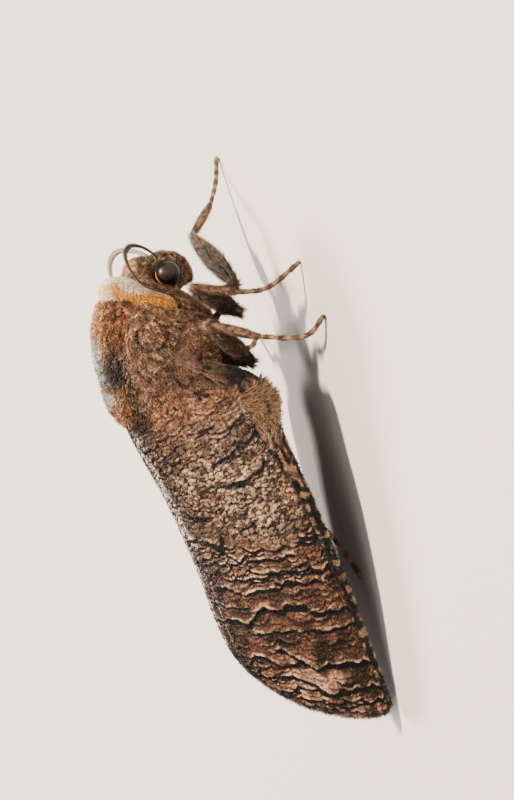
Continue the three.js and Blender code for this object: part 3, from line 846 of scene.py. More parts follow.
def socket(label):
    """The rim of the eye's socket, spun round the eye from a small circle."""
    bm = bmesh.new()
    ring = bmesh.ops.create_circle(bm, segments=8, radius=SOCKET_THICKNESS)["verts"]
    bmesh.ops.translate(bm, vec=(SOCKET_RADIUS, 0, 0), verts=ring)
    bmesh.ops.rotate(bm, matrix=Matrix.Rotation(math.pi / 2, 3, "X"), verts=ring, cent=(0, 0, 0))
    bmesh.ops.spin(bm, geom=bm.verts[:] + bm.edges[:], axis=(0, 0, 1), cent=(0, 0, 0), angle=2 * math.pi,
                   steps=64, use_merge=True)
    middle = EYE * (1, SIDE[label], 1)
    for v in bm.verts:
        v.co = middle + np.array((v.co.x, (v.co.z + SOCKET_OUT) * SIDE[label], v.co.y))
    rim, body = finished(bm, f"eye_{label}_socket")
    turn = np.degrees(np.arctan2(body[:, 2] - EYE[2], body[:, 0] - EYE[0]))
    ginger = smooth(turn, 55, 75) * (1 - smooth(turn, 158, 170))
    paint_points(rim.data, mix(DARK_COFFEE, mix(GINGER, AMBER, 0.35), ginger))
    return rim


cornea = coat_finish("eye_facets", 0.42, 30000, 0.15, 0.000004)
put(cornea.node_tree.nodes["Principled BSDF"], Specular_IOR_Level=0.35, Coat_Weight=0.12, Coat_Roughness=0.12)
socket_finish = coat_finish("socket_scales", 0.6, 20000, 0.35, 0.00002)
for label in SIDE:
    dressed(eyeball(label), cornea, "eye", f"eye_{label}")
    dressed(socket(label), socket_finish, "eye")

# ---------------------------------------------------------------- feelers
# A feeler is a chain of some sixty hollow rings that bows forward, out and back along the side of
# the collar. Each ring bears two short flat combs and the whole is scaled white on its inner side.

FEELER = np.array([[44.2, 1.3, 2.2], [45.2, 1.6, 2.6], [46.0, 2.3, 3.4], [46.4, 3.0, 4.3],
                   [46.1, 3.6, 5.0], [45.3, 4.2, 5.4], [44.2, 4.9, 5.5], [42.9, 5.4, 5.2],
                   [41.8, 5.55, 4.2], [41.0, 5.4, 3.2]])
ARCH_MIDDLE = np.array([43.9, 3.4, 3.2])
RINGS = 62


def curve_through(knots, at):
    """Points on a smooth curve through the knots, at places counted in knots."""
    last = len(knots) - 1
    i = np.clip(at.astype(int), 0, last - 1)
    w = (at - i)[:, None]
    before, here, after, beyond = (knots[np.clip(i + k, 0, last)] for k in (-1, 0, 1, 2))
    a, b = (after - before) / 2, (beyond - here) / 2
    return (2 * here - 2 * after + a + b) * w**3 + (3 * after - 3 * here - 2 * a - b) * w**2 + a * w + here


def feeler_frame(share, label):
    """Centre and half breadth of a feeler, its way on, its broad direction and its inner face."""
    mirror = np.array([1, SIDE[label], 1])
    knots, last = FEELER * mirror, len(FEELER) - 1
    centre = curve_through(knots, share * last)
    ahead = curve_through(knots, np.minimum(share + 0.01, 1) * last)
    ahead = unit(ahead - curve_through(knots, np.maximum(share - 0.01, 0) * last))
    from_middle = centre - ARCH_MIDDLE * mirror
    broad = unit(from_middle - (from_middle * ahead).sum(1, keepdims=True) * ahead)
    inner = np.cross(ahead, broad)
    inner = inner * -np.sign(inner[:, 1:2] * SIDE[label] + 1e-9)
    breadth = np.interp(share, [0, 0.06, 0.3, 0.55, 0.8, 1], [0.2, 0.15, 0.15, 0.13, 0.08, 0.05])
    return centre, breadth, ahead, broad, inner


def rolled(rings, corners, place):
    """A closed tube, rolled from a sheet. place gives its points and a tone for each of them."""
    bm = bmesh.new()
    tone = bm.verts.layers.float.new("tone")
    sheet = bmesh.ops.create_grid(bm, x_segments=rings, y_segments=corners, size=0.5)["verts"]
    flat = np.array([v.co for v in sheet]) + 0.5
    spots, tones = place(flat[:, 0], flat[:, 1] * 2 * math.pi)
    for v, spot_at, value in zip(sheet, spots, tones):
        v.co = spot_at
        v[tone] = value
    bmesh.ops.remove_doubles(bm, verts=bm.verts, dist=1e-4)
    bmesh.ops.holes_fill(bm, edges=[e for e in bm.edges if e.is_boundary])
    return bm


def feeler_shaft(label):
    """The chain of rings: each is narrow at its joints and swells between them."""

    def place(share, turn):
        centre, breadth, _, broad, inner = feeler_frame(share, label)
        swell = breadth * (0.94 + 0.1 * np.cos(2 * math.pi * RINGS * share))
        across, through = np.cos(turn) * swell, np.sin(turn) * swell * 0.62
        return centre + broad * across[:, None] + inner * through[:, None], np.sin(turn)

    shaft, _ = finished(rolled(RINGS * 4, 10, place), f"antenna_{label}_shaft")
    white = smooth(numbers(shaft.data.attributes["tone"].data, "value", 1), 0.2, 0.7)
    paint_points(shaft.data, mix(paint(58, 42, 34), paint(196, 184, 172), white))
    return shaft


def feeler_combs(label):
    """Two rows of short flat combs, one pair to a ring, and the white scales between them."""
    parts = []
    for row in (-1, 1):
        share = (np.arange(RINGS) + 0.5) / RINGS
        centre, breadth, ahead, broad, inner = feeler_frame(share, label)
        root = centre + broad * row * breadth[:, None] * 0.8
        outwards = broad * row + ahead * 0.5
        parts.append((root, inner, outwards, breadth * 1.15, breadth, share, paint(70, 52, 42)))
    for _ in range(5):
        share = (np.arange(RINGS * 2) + dice.random(RINGS * 2)) / (RINGS * 2) * 0.96
        centre, breadth, ahead, broad, inner = feeler_frame(share, label)
        off = dice.uniform(-0.7, 0.7, len(share))
        root = centre + broad * (breadth * off)[:, None] + inner * (breadth * 0.58)[:, None]
        length, width = np.full(len(share), 0.16), np.full(len(share), 0.07)
        parts.append((root, inner, ahead, length, width, share, paint(206, 196, 186)))
    place, normal, lie, length, width, share = (np.concatenate([p[k] for p in parts]) for k in range(6))
    colour = np.concatenate([np.tile(p[6], (len(p[5]), 1)) for p in parts])
    colour = colour * dice.uniform(0.75, 1.2, (len(place), 1))
    flat = np.stack([0.01 + 0.98 * share, np.linspace(0.01, 0.99, len(share))], 1)
    lift = np.radians(dice.uniform(5, 20, len(place)))
    return tufts(f"antenna_{label}_combs", LEAF, to_row(place) / MM, normal @ RISEN.T, lie @ RISEN.T,
                 length, width, lift, colour, flat, bed=0.01)


feeler_finish = coat_finish("feeler_scales", 0.5, 24000, 0.2, 0.000006)
for label in SIDE:
    dressed(feeler_shaft(label), feeler_finish, "antenna", f"antenna_{label}")
    dressed(feeler_combs(label), feeler_finish, "antenna")

# ---------------------------------------------------------------- claws
# Each foot ends in two small hooks of black-brown horn, jointed to its last ring and spread a
# little. The moth grips bark with them; on the floor their points come down beside the foot.

CLAW_LENGTH, CLAW_RADIUS, CLAW_SPREAD = 0.34, 0.05, math.radians(24)
CLAW_RISES = 0.14  # a claw leaves its foot at least so high above the ground


def claw(foot, side):
    """One hook: a tube that thins to a point as it bends down to the ground."""
    ahead = foot_wards(foot)
    mine = points[skin_node == FLESH.index(foot)]
    tip = mine[np.argmax(mine @ ahead)]
    level = unit(ahead * (1, 1, 0))
    beside = np.array([-level[1], level[0], 0]) * side
    out = math.cos(CLAW_SPREAD) * level + math.sin(CLAW_SPREAD) * beside
    height = max(tip[2], CLAW_RISES)

    def place(share, turn):
        thick = CLAW_RADIUS * (1 - share) ** 0.7 + 0.004
        centre = tip + beside * 0.04 + out * (CLAW_LENGTH * (share - 0.15))[:, None]
        centre[:, 2] = height + 0.05 * np.sin(math.pi * share) - (height - 0.03) * share**2
        upright = np.array([0, 0, 1.0])
        sideways = np.cross(out, upright)
        ring = np.cos(turn)[:, None] * sideways + np.sin(turn)[:, None] * upright
        return to_body((centre + ring * thick[:, None]) * MM), share

    return rolled(8, 7, place)


horn = bmesh.new()
for foot in FEET:
    for side in (-1, 1):
        hook = bpy.data.meshes.new("hook")
        one = claw(foot, side)
        one.to_mesh(hook)
        one.free()
        horn.from_mesh(hook)
claws, _ = finished(horn, "claws")
paint_points(claws.data, np.tile(paint(42, 26, 20), (len(claws.data.vertices), 1)))
dressed(claws, coat_finish("claw_horn", 0.3, 12000, 0.15, 0.000004), "claw")

# ---------------------------------------------------------------- wings
# Each wing is a thin plate of horn stretched between veins that fan out from its root, folded
# like one side of a roof over the back. It is grown as one sheet; its low plates and cracks
# are the scale pattern's own relief, and run out to the margin between the veins.

GAP = 0.1  # between the two wings of a pair, along the ridge
ROOF_POWER = 1.25  # how square the roof is: 1 is a round arch
ROOT_ANGLE = math.radians(52)
TORNUS, MARGIN_REACH, TIP_ROUNDING, SHOULDER_AT = 11.4, 11.7, 1.0, 29.6
DRAWN_IN = {"right": 0.0, "left": 1.1}
WING_LENGTH, SHORTER_BEHIND = 39.0, 12.8  # along the front edge, and by how much the hind edge is shorter
WING_BREADTH = 16.0
WINGS = {"forewing": {"root": 36.5, "share": 1.0, "lift": 0.3, "shoulder": 0.9, "shorter": 0.0},
         "hindwing": {"root": 33.5, "share": 0.82, "lift": 1.0, "shoulder": 0.0, "shorter": 1.6}}


def profile(knots):
    """A smooth curve through a few places along the body, as a function of the place."""
    curve = curve_through(np.array(knots, float), np.linspace(0, len(knots) - 1, 3001))
    return lambda x: np.interp(x, curve[:, 0], curve[:, 1])


roof_half_width = profile([(-2, 3.4), (5, 5.5), (12, 7.9), (20, 9.4), (27, 9.1), (33, 7.8), (37.5, 6.9)])
ridge_height = profile([(-2, 9.7), (7, 10.0), (14, 10.05), (19, 9.7), (25, 9.7), (31, 10.2), (37.5, 10.4)])


def on_wing(u, v, kind, label):
    """Body millimetres on a wing: u from root to margin, v from front edge to hind edge."""
    spec = WINGS[kind]
    from_root = (1 - v) * (math.pi / 2) - ROOT_ANGLE
    spread = np.where(from_root > 0, 0.26 + 0.74 * smooth(u, 0, 0.15), 0.45 + 0.55 * smooth(u, 0, 0.22))
    angle = ROOT_ANGLE + from_root * spread
    rounded = TIP_ROUNDING * np.maximum(1 - v / 0.14, 0) ** 2
    end = TORNUS + DRAWN_IN[label] + spec["shorter"] - MARGIN_REACH * np.sin(angle) + rounded
    x = spec["root"] + (end - spec["root"]) * u
    wide = np.maximum(np.sin(angle), 0) ** ROOF_POWER
    high = np.maximum(np.cos(angle), 0) ** ROOF_POWER
    bulge = near(x - SHOULDER_AT, 2) * np.maximum(1 - v * 4, 0)
    y = SIDE[label] * (GAP / 2 + roof_half_width(x) * spec["share"] * wide)
    z = ridge_height(x) * spec["share"] * high + spec["lift"] - spec["shoulder"] * bulge
    return np.stack([x, y, z], -1)


def wing_frame(u, v, kind, label):
    """Place on the wing, direction to the margin, direction to the hind edge and outward."""
    step = 1e-3
    su, sv = np.where(u < 0.5, step, -step), np.where(v < 0.5, step, -step)
    here = on_wing(u, v, kind, label)
    to_margin = unit((on_wing(u + su, v, kind, label) - here) / su[:, None])
    to_hind = unit((on_wing(u, v + sv, kind, label) - here) / sv[:, None])
    outward = unit(np.cross(to_margin, to_hind)) * SIDE[label]
    return here, to_margin, to_hind, outward


# The dark cross lines of the forewing, each as width in millimetres and places (v, u) that it
# passes from the front edge to the hind edge. They step from one vein to the next.
CROSS_LINES = [
    (0.36, [(0.0, 0.705), (0.15, 0.713), (0.29, 0.71), (0.3, 0.692), (0.4, 0.694), (0.43, 0.709),
            (0.52, 0.711), (0.57, 0.724), (0.61, 0.752), (0.65, 0.779), (0.7, 0.785), (0.77, 0.8),
            (0.84, 0.83), (0.95, 0.885)]),
    (0.27, [(0.0, 0.849), (0.3, 0.849), (0.34, 0.858), (0.38, 0.863), (0.42, 0.852), (0.47, 0.836),
            (0.56, 0.828)]),
    (0.24, [(0.44, 0.842), (0.47, 0.856), (0.52, 0.872), (0.56, 0.882), (0.62, 0.876), (0.66, 0.876),
            (0.7, 0.888), (0.74, 0.91), (0.78, 0.94), (0.82, 0.975)]),
    (0.17, [(0.02, 0.742), (0.2, 0.756), (0.42, 0.758), (0.48, 0.765), (0.57, 0.785), (0.62, 0.8),
            (0.66, 0.805)]),
    (0.36, [(0.61, 0.517), (0.65, 0.546), (0.7, 0.545), (0.76, 0.543), (0.8, 0.549), (0.86, 0.567),
            (0.95, 0.6)]),
    (0.17, [(0.57, 0.575), (0.62, 0.567), (0.66, 0.55)]),
    (0.25, [(0.79, 0.63), (0.84, 0.643), (0.88, 0.655), (0.96, 0.685)]),
    (0.27, [(0.63, 0.452), (0.68, 0.462), (0.73, 0.47), (0.8, 0.462)]),
    (0.2, [(0.4, 0.472), (0.44, 0.478), (0.49, 0.485)]),
    (0.23, [(0.2, 0.322), (0.24, 0.336), (0.28, 0.344), (0.33, 0.357), (0.4, 0.361), (0.48, 0.359)]),
    (0.17, [(0.29, 0.268), (0.34, 0.28), (0.4, 0.293), (0.48, 0.306)]),
    (0.2, [(0.19, 0.198), (0.25, 0.208), (0.3, 0.228)]),
    (0.18, [(0.17, 0.256), (0.26, 0.263), (0.31, 0.26)]),
    (0.14, [(0.22, 0.107), (0.3, 0.113), (0.38, 0.11)]),
    (0.14, [(0.22, 0.147), (0.3, 0.152)]),
    (0.19, [(0.36, 0.203), (0.42, 0.212), (0.48, 0.218)]),
    (0.19, [(0.26, 0.556), (0.4, 0.565), (0.52, 0.57)]),
    (0.21, [(0.18, 0.63), (0.28, 0.632), (0.36, 0.622), (0.4, 0.645), (0.48, 0.65), (0.54, 0.665),
            (0.6, 0.678), (0.7, 0.682), (0.79, 0.7)]),
    (0.18, [(0.02, 0.6), (0.16, 0.608), (0.38, 0.6), (0.45, 0.612), (0.55, 0.625), (0.63, 0.64),
            (0.7, 0.65)]),
    (0.22, [(0.03, 0.515), (0.12, 0.523), (0.19, 0.527)]),
    (0.18, [(0.2, 0.582), (0.28, 0.585)]),
    (0.22, [(0.0, 0.912), (0.19, 0.913), (0.27, 0.921), (0.35, 0.934), (0.39, 0.92), (0.46, 0.902),
            (0.52, 0.902), (0.57, 0.912), (0.64, 0.93)]),
    (0.15, [(0.02, 0.952), (0.2, 0.953), (0.3, 0.965), (0.38, 0.955), (0.46, 0.96), (0.6, 0.972)]),
    (0.17, [(0.62, 0.72), (0.68, 0.732), (0.74, 0.745), (0.8, 0.76), (0.9, 0.79)]),
]
VEINS = np.array([-0.01, 0.1, 0.2, 0.3, 0.415, 0.52, 0.625, 0.72, 0.815, 0.9, 1.01])


def length_at(v):
    return WING_LENGTH - SHORTER_BEHIND * v


def crease_at(u):
    """Where the fold behind the wing's front strip lies, as v."""
    return np.interp(u, [0, 0.16, 0.42, 0.7, 1], [0.26, 0.2, 0.105, 0.07, 0.05])


def pebbles(flat, size, seed):
    """Close-set pebbles: how far each point is from its pebble's middle, and that pebble's lot."""
    q = flat / size
    cell = np.floor(q).astype(np.int64)
    nearest = np.full(len(q), 9.0)
    lot = np.zeros(len(q))
    for step in itertools.product((-1, 0, 1), repeat=2):
        c = cell + np.array(step)
        middle = c + 0.15 + 0.7 * np.stack([scrambled(c, seed), scrambled(c, seed + 1)], -1)
        away = np.linalg.norm(q - middle, axis=-1)
        lot = np.where(away < nearest, scrambled(c, seed + 2), lot)
        nearest = np.minimum(nearest, away)
    return nearest, lot


def in_cells(v):
    """Which cell between two veins v lies in, and how far across it, 0 to 1."""
    cell = np.clip(np.searchsorted(VEINS, v) - 1, 0, len(VEINS) - 2)
    return cell, (v - VEINS[cell]) / (VEINS[cell + 1] - VEINS[cell])


def ladder(x, rung, across, seed):
    """Cracks that run across the wing like those of bark, about one rung apart, and kink from row
    to row. Gives the way on to the next crack and back to the last one, and their strengths."""
    q = x / rung
    row = np.floor(across - 0.5).astype(np.int64)
    turn = smooth(across - 0.5 - row, 0.32, 0.68)
    ahead, behind = np.full(len(q), 9.0), np.full(len(q), 9.0)
    lot_ahead, lot_behind = np.zeros(len(q)), np.zeros(len(q))
    for step in (-1, 0, 1):
        crack = np.floor(q).astype(np.int64) + step
        here, there = np.stack([crack, row], -1), np.stack([crack, row + 1], -1)
        away = crack + 0.08 + 0.84 * ((1 - turn) * scrambled(here, seed) + turn * scrambled(there, seed)) - q
        lot = (1 - turn) * scrambled(here, seed + 1) + turn * scrambled(there, seed + 1)
        is_next, is_last = (away > 0) & (away < ahead), (away <= 0) & (-away < behind)
        lot_ahead, ahead = np.where(is_next, lot, lot_ahead), np.where(is_next, away, ahead)
        lot_behind, behind = np.where(is_last, lot, lot_behind), np.where(is_last, -away, behind)
    return ahead * rung, behind * rung, lot_ahead, lot_behind


def wing_lines(u, v, flat, seed):
    """Each bold line in turn: how far a place lies beyond it, its width in millimetres, and its share."""
    length = length_at(v)
    _, part = in_cells(v)
    wander = 0.08 * lumps(flat, 0.3, seed) + 0.12 * lumps(flat, 0.9, seed + 1)
    bow = 0.16 * (np.sin(math.pi * part) - 0.6)
    lean = 0.03 * np.maximum(1 - v / 0.11, 0) ** 1.3
    for width, knots in CROSS_LINES:
        k = np.array(knots)
        line = np.interp(v, k[:, 0], k[:, 1]) + lean
        first, last = k[0, 0], k[-1, 0]
        shown = smooth(v, first - 0.012, first + 0.004) * (1 - smooth(v, last - 0.004, last + 0.012))
        beyond = (u - line) * length + wander - bow
        yield beyond, width * (0.95 + 0.45 * lumps(flat, 0.7, seed + 2)), shown


# The rows of plates between the bold lines, as rows between two veins, spacing and width of
# cracks in millimetres and strength, on the outer half of the wing and on its inner half.
OUTER_PLATES = [(1, 1.25, 0.22, 1.0), (2, 0.75, 0.15, 0.85), (3, 0.42, 0.09, 0.55)]
INNER_PLATES = [(1, 1.1, 0.2, 0.85), (2, 0.6, 0.13, 0.7), (3, 0.34, 0.08, 0.5)]


def forewing_pattern(u, v, seed):
    """Colour of the forewing, height of its plates in millimetres, and where its cracks are."""
    length = length_at(v)
    flat = np.stack([u * length, v * WING_BREADTH], -1)
    patchy = lumps(flat, 2.6, seed + 11)
    blotch = lumps(flat, 0.9, seed + 12)
    grit = lumps(flat, 0.2, seed + 13)
    dust = lumps(flat, 0.11, seed + 17)
    cell, part = in_cells(v)
    sheared = WING_LENGTH * (u - np.interp(u, [0, 0.4, 0.7], [0.08, 0.25, 0.36]) * np.maximum(v - 0.5, 0))
    wavy = sheared + 0.1 * lumps(flat, 0.45, seed + 18) + 0.05 * lumps(flat, 0.16, seed + 19)

    crease = crease_at(u)
    strip = 1 - smooth(v, crease - 0.012, crease + 0.012)
    outer = smooth(u + 0.025 * patchy - 0.06 * (v - 0.5), 0.46, 0.56)
    pale = smooth(u + 0.04 * blotch, 0.24, 0.34) * (1 - smooth(u + 0.05 * patchy + 0.03 * blotch, 0.47, 0.57))
    pale = pale * (1 - smooth(v + 0.08 * patchy, 0.66, 0.84))

    dark, rim, plate = np.zeros(len(u)), np.zeros(len(u)), np.zeros(len(u))
    for beyond, width, shown in wing_lines(u, v, flat, seed):
        half = 0.85 * width
        dark = np.maximum(dark, shown * (1 - smooth(np.abs(beyond), 0.7 * half, 1.25 * half)))
        before = -beyond - half
        bold = np.clip(width / 0.25, 0.5, 1.1) * shown
        rim = np.maximum(rim, bold * smooth(before, -0.04, 0.03) * (1 - smooth(before, 0.1, 0.45)))
        plate = np.maximum(plate, bold * smooth(before, -0.05, 0.02) * np.exp(-np.maximum(before, 0) / 0.9))
    calm = smooth(u, 0.62, 0.66) * (1 - smooth(u, 0.87, 0.93)) * (1 - 0.4 * smooth(np.abs(patchy), 0.3, 0.6))
    granular = 1 - 0.25 * pale
    for plates, share in ((OUTER_PLATES, outer * (1 - 0.55 * calm)), (INNER_PLATES, (1 - outer) * granular)):
        for rows, rung, wide, strength in plates:
            across = (cell + part) * rows
            bow = 0.25 * rung * np.sin(math.pi * (across % 1))
            corner = np.abs(2 * (across % 1) - 1) ** 3
            ahead, behind, lot_ahead, lot_behind = ladder(wavy - bow, rung, across, seed + 23 + rows)
            wider = 0.35 * patchy + 0.2 * grit + 0.15
            for away, lot in ((ahead, lot_ahead), (behind, lot_behind)):
                half = wide * (1.5 * lot - 0.4 + wider) * (0.6 + 0.3 * outer + 0.9 * corner)
                crack = (1 - smooth(away, 0.6 * half, half + 0.02)) * (half > 0.02)
                dark = np.maximum(dark, crack * share * strength)
            notch = 0.75 * share * strength * smooth(corner, 0.72, 0.92) * smooth(lot_ahead, 0.25, 0.5)
            dark = np.maximum(dark, notch)
            lip = smooth(ahead, 0.5 * wide, 0.9 * wide) * (1 - smooth(ahead, 1.2 * wide, 0.15 + 2 * wide))
            rim = np.maximum(rim, lip * share * strength * lot_ahead)
            rise = behind / np.maximum(ahead + behind, 1e-6)
            plate = np.maximum(plate, share * strength * (0.3 + 0.7 * rise) * smooth(ahead, 0, 0.1))

    vein = np.minimum(part, 1 - part) * (VEINS[cell + 1] - VEINS[cell]) * WING_BREADTH
    bent = 0.14 * np.stack([grit, lumps(flat, 0.2, seed + 29)], -1)
    bent = bent + 0.12 * lumps(flat, 0.5, seed + 30)[:, None]
    stone, lot = pebbles(flat * (1.15, 0.8) + bent, 0.37, seed + 14)
    base = 1 - smooth(u + 0.02 * blotch, 0.14, 0.28)
    pebble = smooth(0.62 - stone, 0, 0.3) * (1 - 0.7 * base)
    gaps = (1 - pebble) * (1 - outer) * (1 - base) * smooth(lumps(flat, 0.5, seed + 22), -0.5, 0.3)

    warm = np.exp(-(((u - 0.12) / 0.11) ** 2) - (((v - 0.58) / 0.22) ** 2))
    spotted = 0.08 + 0.35 * (lot < 0.25) * (1 - pale) + 0.62 * pale * (lot < 0.75)
    reddish = mix(paint(70, 46, 34), paint(124, 83, 60), np.clip(0.5 + 0.5 * patchy + 0.35 * blotch, 0, 1))
    far = smooth(u, 0.8, 0.88) * (1 - smooth(v, 0.4, 0.65))
    crinkle = lumps(flat * (1, 0.8), 0.75, seed + 26) + 0.5 * lumps(flat, 0.3, seed + 27)
    # painted shade in the creases between the crinkled plates at the root
    dark = np.maximum(dark * (1 - 0.4 * base), 0.85 * base * smooth(-crinkle, 0.6, 0.9))
    plate = np.maximum(plate, base * smooth(crinkle, -0.4, 0.9))
    c = layered(
        mix(paint(92, 72, 60), COFFEE, 0.5 + 0.5 * patchy),
        (RUSSET, 0.35 * (1 - smooth(u, 0.1, 0.3))),
        (mix(GINGER, COFFEE, 0.4), 0.6 * np.clip(warm + 0.3 * blotch, 0, 1)),
        (mix(CREAM, PINK_GREY, 0.25 + 0.75 * (lot * 7 % 1)), pebble * spotted),
        (DARK_COFFEE, 0.6 * gaps),
        (reddish, outer),
        (paint(166, 132, 114), outer * far * 0.7 * smooth(blotch + patchy, -0.5, 0.4)),
        # painted light: paler on the high crinkles at the root
        (PINK_GREY, 0.5 * base * smooth(crinkle, 0.2, 0.9)),
    )
    # painted light: each plate is brighter where it rises towards its edge
    c = c * (0.84 + 0.5 * np.clip(plate, 0, 1.1))[:, None]
    rim = np.clip(rim * (0.45 + 0.55 * smooth(grit + blotch, -0.4, 0.4)), 0, 0.85) * (0.5 + 0.2 * outer)
    c = layered(
        c,
        (mix(CREAM, PINK_GREY, 0.55), rim),
        (PINK_GREY, 0.3 * smooth(dust, 0.25, 0.7) * (1 - 0.4 * outer)),
        (SOOT, 0.3 * smooth(-dust, 0.25, 0.7)),
    )

    # the long hair of the front strip, which is barred with black towards the tip
    tousled = 1.4 * lumps(flat * (0.35, 1), 0.38, seed + 15) + 0.8 * lumps(flat, 0.4, seed + 28)
    brush = near(u - 0.2, 0.06)
    hair = mix(paint(220, 168, 128), paint(60, 42, 32), smooth(tousled, -0.5 + brush, 0.5 + brush))
    hair = hair * np.interp(u, [0, 0.12, 0.25, 0.4, 0.55], [0.5, 0.6, 0.85, 1.15, 1.3])[:, None]
    slant = u * length + 0.9 * v * WING_BREADTH
    bars = smooth(np.sin(2 * math.pi * slant / 1.35 + 1.5 * patchy + 0.8 * blotch), 0.0, 0.3)
    hair = mix(hair * (1 - 0.35 * smooth(u, 0.5, 0.7))[:, None], SOOT, 0.9 * bars * smooth(u, 0.24, 0.45))
    # painted shade along the fold behind the front strip
    fold_shade = 0.8 * near((v - crease) * WING_BREADTH, 0.08) * smooth(0.74 - u, 0, 0.15)
    c = layered(c, (hair, strip * 0.9), (DARK_COFFEE, fold_shade))

    # the silvery ridge of the roof, darker towards the tip
    streaks = np.clip(0.5 + 0.6 * lumps(flat * (0.5, 1.5), 0.4, seed + 16), 0, 1)
    silver = layered(
        mix(paint(84, 72, 66), paint(212, 206, 204), streaks),
        (GREY_BROWN, 0.6 * smooth(dust + blotch, 0, 0.7)),
        (SOOT, 0.7 * smooth(lumps(flat, 0.6, seed + 21) + 0.3 * smooth(u, 0.6, 0.7), 0.2, 0.6)),
    )
    c = c * (1 - smooth(v, 0.68, 0.84) * (0.15 + 0.35 * smooth(u, 0.58, 0.68)))[:, None]
    ridge = smooth(v + 0.02 * blotch, 0.835, 0.9) * smooth(u, 0.15, 0.2)
    ridge = ridge * (0.95 - 0.9 * smooth(u, 0.56, 0.68))
    hind_edge = 0.7 * smooth(v, 0.94, 0.975) * smooth(u, 0.4, 0.6) * smooth(grit, -0.6, 0.2)
    from_anal = (v - 0.83 - 0.1 * (u - 0.6) - 0.006 * blotch - 0.003 * grit) * WING_BREADTH
    anal = near(from_anal, 0.07) * smooth(u, 0.6, 0.66)
    dark = np.clip(dark * (1 - strip * (1 - 0.9 * smooth(u, 0.4, 0.5))), 0, 1)
    c = layered(
        c,
        (silver * 1.15, ridge),
        (DARK_COFFEE, 0.7 * smooth(v, 0.68, 0.8) * (1 - smooth(u, 0.15, 0.22))),
        (mix(PINK_GREY, FROST, 0.5), hind_edge),
        (PINK_GREY * 1.2, 0.75 * anal * smooth(blotch + grit, -0.6, 0.2)),
        (paint(17, 13, 12), 0.97 * dark),
        (mix(CREAM, PINK_GREY, 0.5), 0.6 * smooth(u, 0.985, 0.995) * (vein > 0.25)),
    )
    relief = 0.13 * plate * (0.4 + 0.6 * outer) + 0.06 * pebble * (1 - outer) - 0.06 * dark

    # the contrast of worn and fresh scales, and the warmer root
    c = c * (1 + 0.2 * grit + 0.12 * blotch)[:, None]
    contrast = (c.mean(-1, keepdims=True) / 0.17) ** (0.7 + 0.2 * outer[:, None])
    c = c * (0.8 + 0.55 * outer - 0.06 * pale)[:, None] * contrast
    c = mix(c, c * (1.12, 1.02, 0.94), base) * (1 + 0.3 * (1 - smooth(u, 0.04, 0.14)))[:, None]
    c = np.minimum(c * (1.02, 0.98, 0.96), CREAM)
    return c, np.clip(relief, -0.06, 0.15), dark


def hindwing_pattern(u, v, seed):
    """Plain grey-brown with a faint net of darker lines."""
    flat = np.stack([u * length_at(v), v * WING_BREADTH], -1)
    net, _ = pebbles(flat * (1.6, 0.7), 1.1, seed)
    c = mix(GREY_BROWN, COFFEE, 0.4 + 0.3 * lumps(flat, 1.5, seed + 1))
    dark = 0.5 * smooth(net, 0.55, 0.75)
    return mix(c, DARK_COFFEE, dark), 0.01 * lumps(flat, 0.5, seed + 2), dark


PATTERN = {"forewing": forewing_pattern, "hindwing": hindwing_pattern}
PATTERN_SEED = {"right": 40, "left": 90}
SHEET = 0.11  # half the thickness of a wing under its scales
SHEET_TONE = 0.8  # the sheet between the scales lies in their shade
MARGIN_IN = 0.988  # where the horny plate ends and the fringe begins
IN_CRACK = 0.35  # a place darker than this lies in a crack, and a scale before it is short
BLACK = 0.07  # hairs darker than this get less painted highlight on their tips


def wing_look(u, v, kind, label):
    """Colour, relief and cracks of a wing. The thorax's fur runs out over the forewing's root, and painted
    shade blackens the hollow between the root and the shoulder."""
    colour, relief, dark = PATTERN[kind](u, v, PATTERN_SEED[label])
    if kind == "forewing":
        body = on_wing(u, v, kind, label)
        ragged = 0.02 * lumps(body, 1.1, 31) + 0.02 * lumps(body, 0.4, 32)
        in_front = 1 - smooth(v + 3 * ragged, 0.05, 0.32)
        furry = 1 - smooth(u + ragged - 0.1 * in_front, 0.01, 0.05)
        fur_tone = 1 - 0.4 * in_front + 0.25 * lumps(body, 0.25, 33)
        # painted shade in the hollow between the root and the shoulder
        hollow_shade = near(u + ragged - 0.115, 0.04) * (1 - smooth(v + ragged, 0.1, 0.22))
        fur = thorax_colour(body) * fur_tone[:, None]
        colour = layered(colour, (fur, furry), (SOOT, np.minimum(1.2 * hollow_shade, 0.95)))
    return np.clip(colour, 0.004, 0.95), relief, dark


def underside(colour):
    return mix(colour, GREY_BROWN, 0.65)


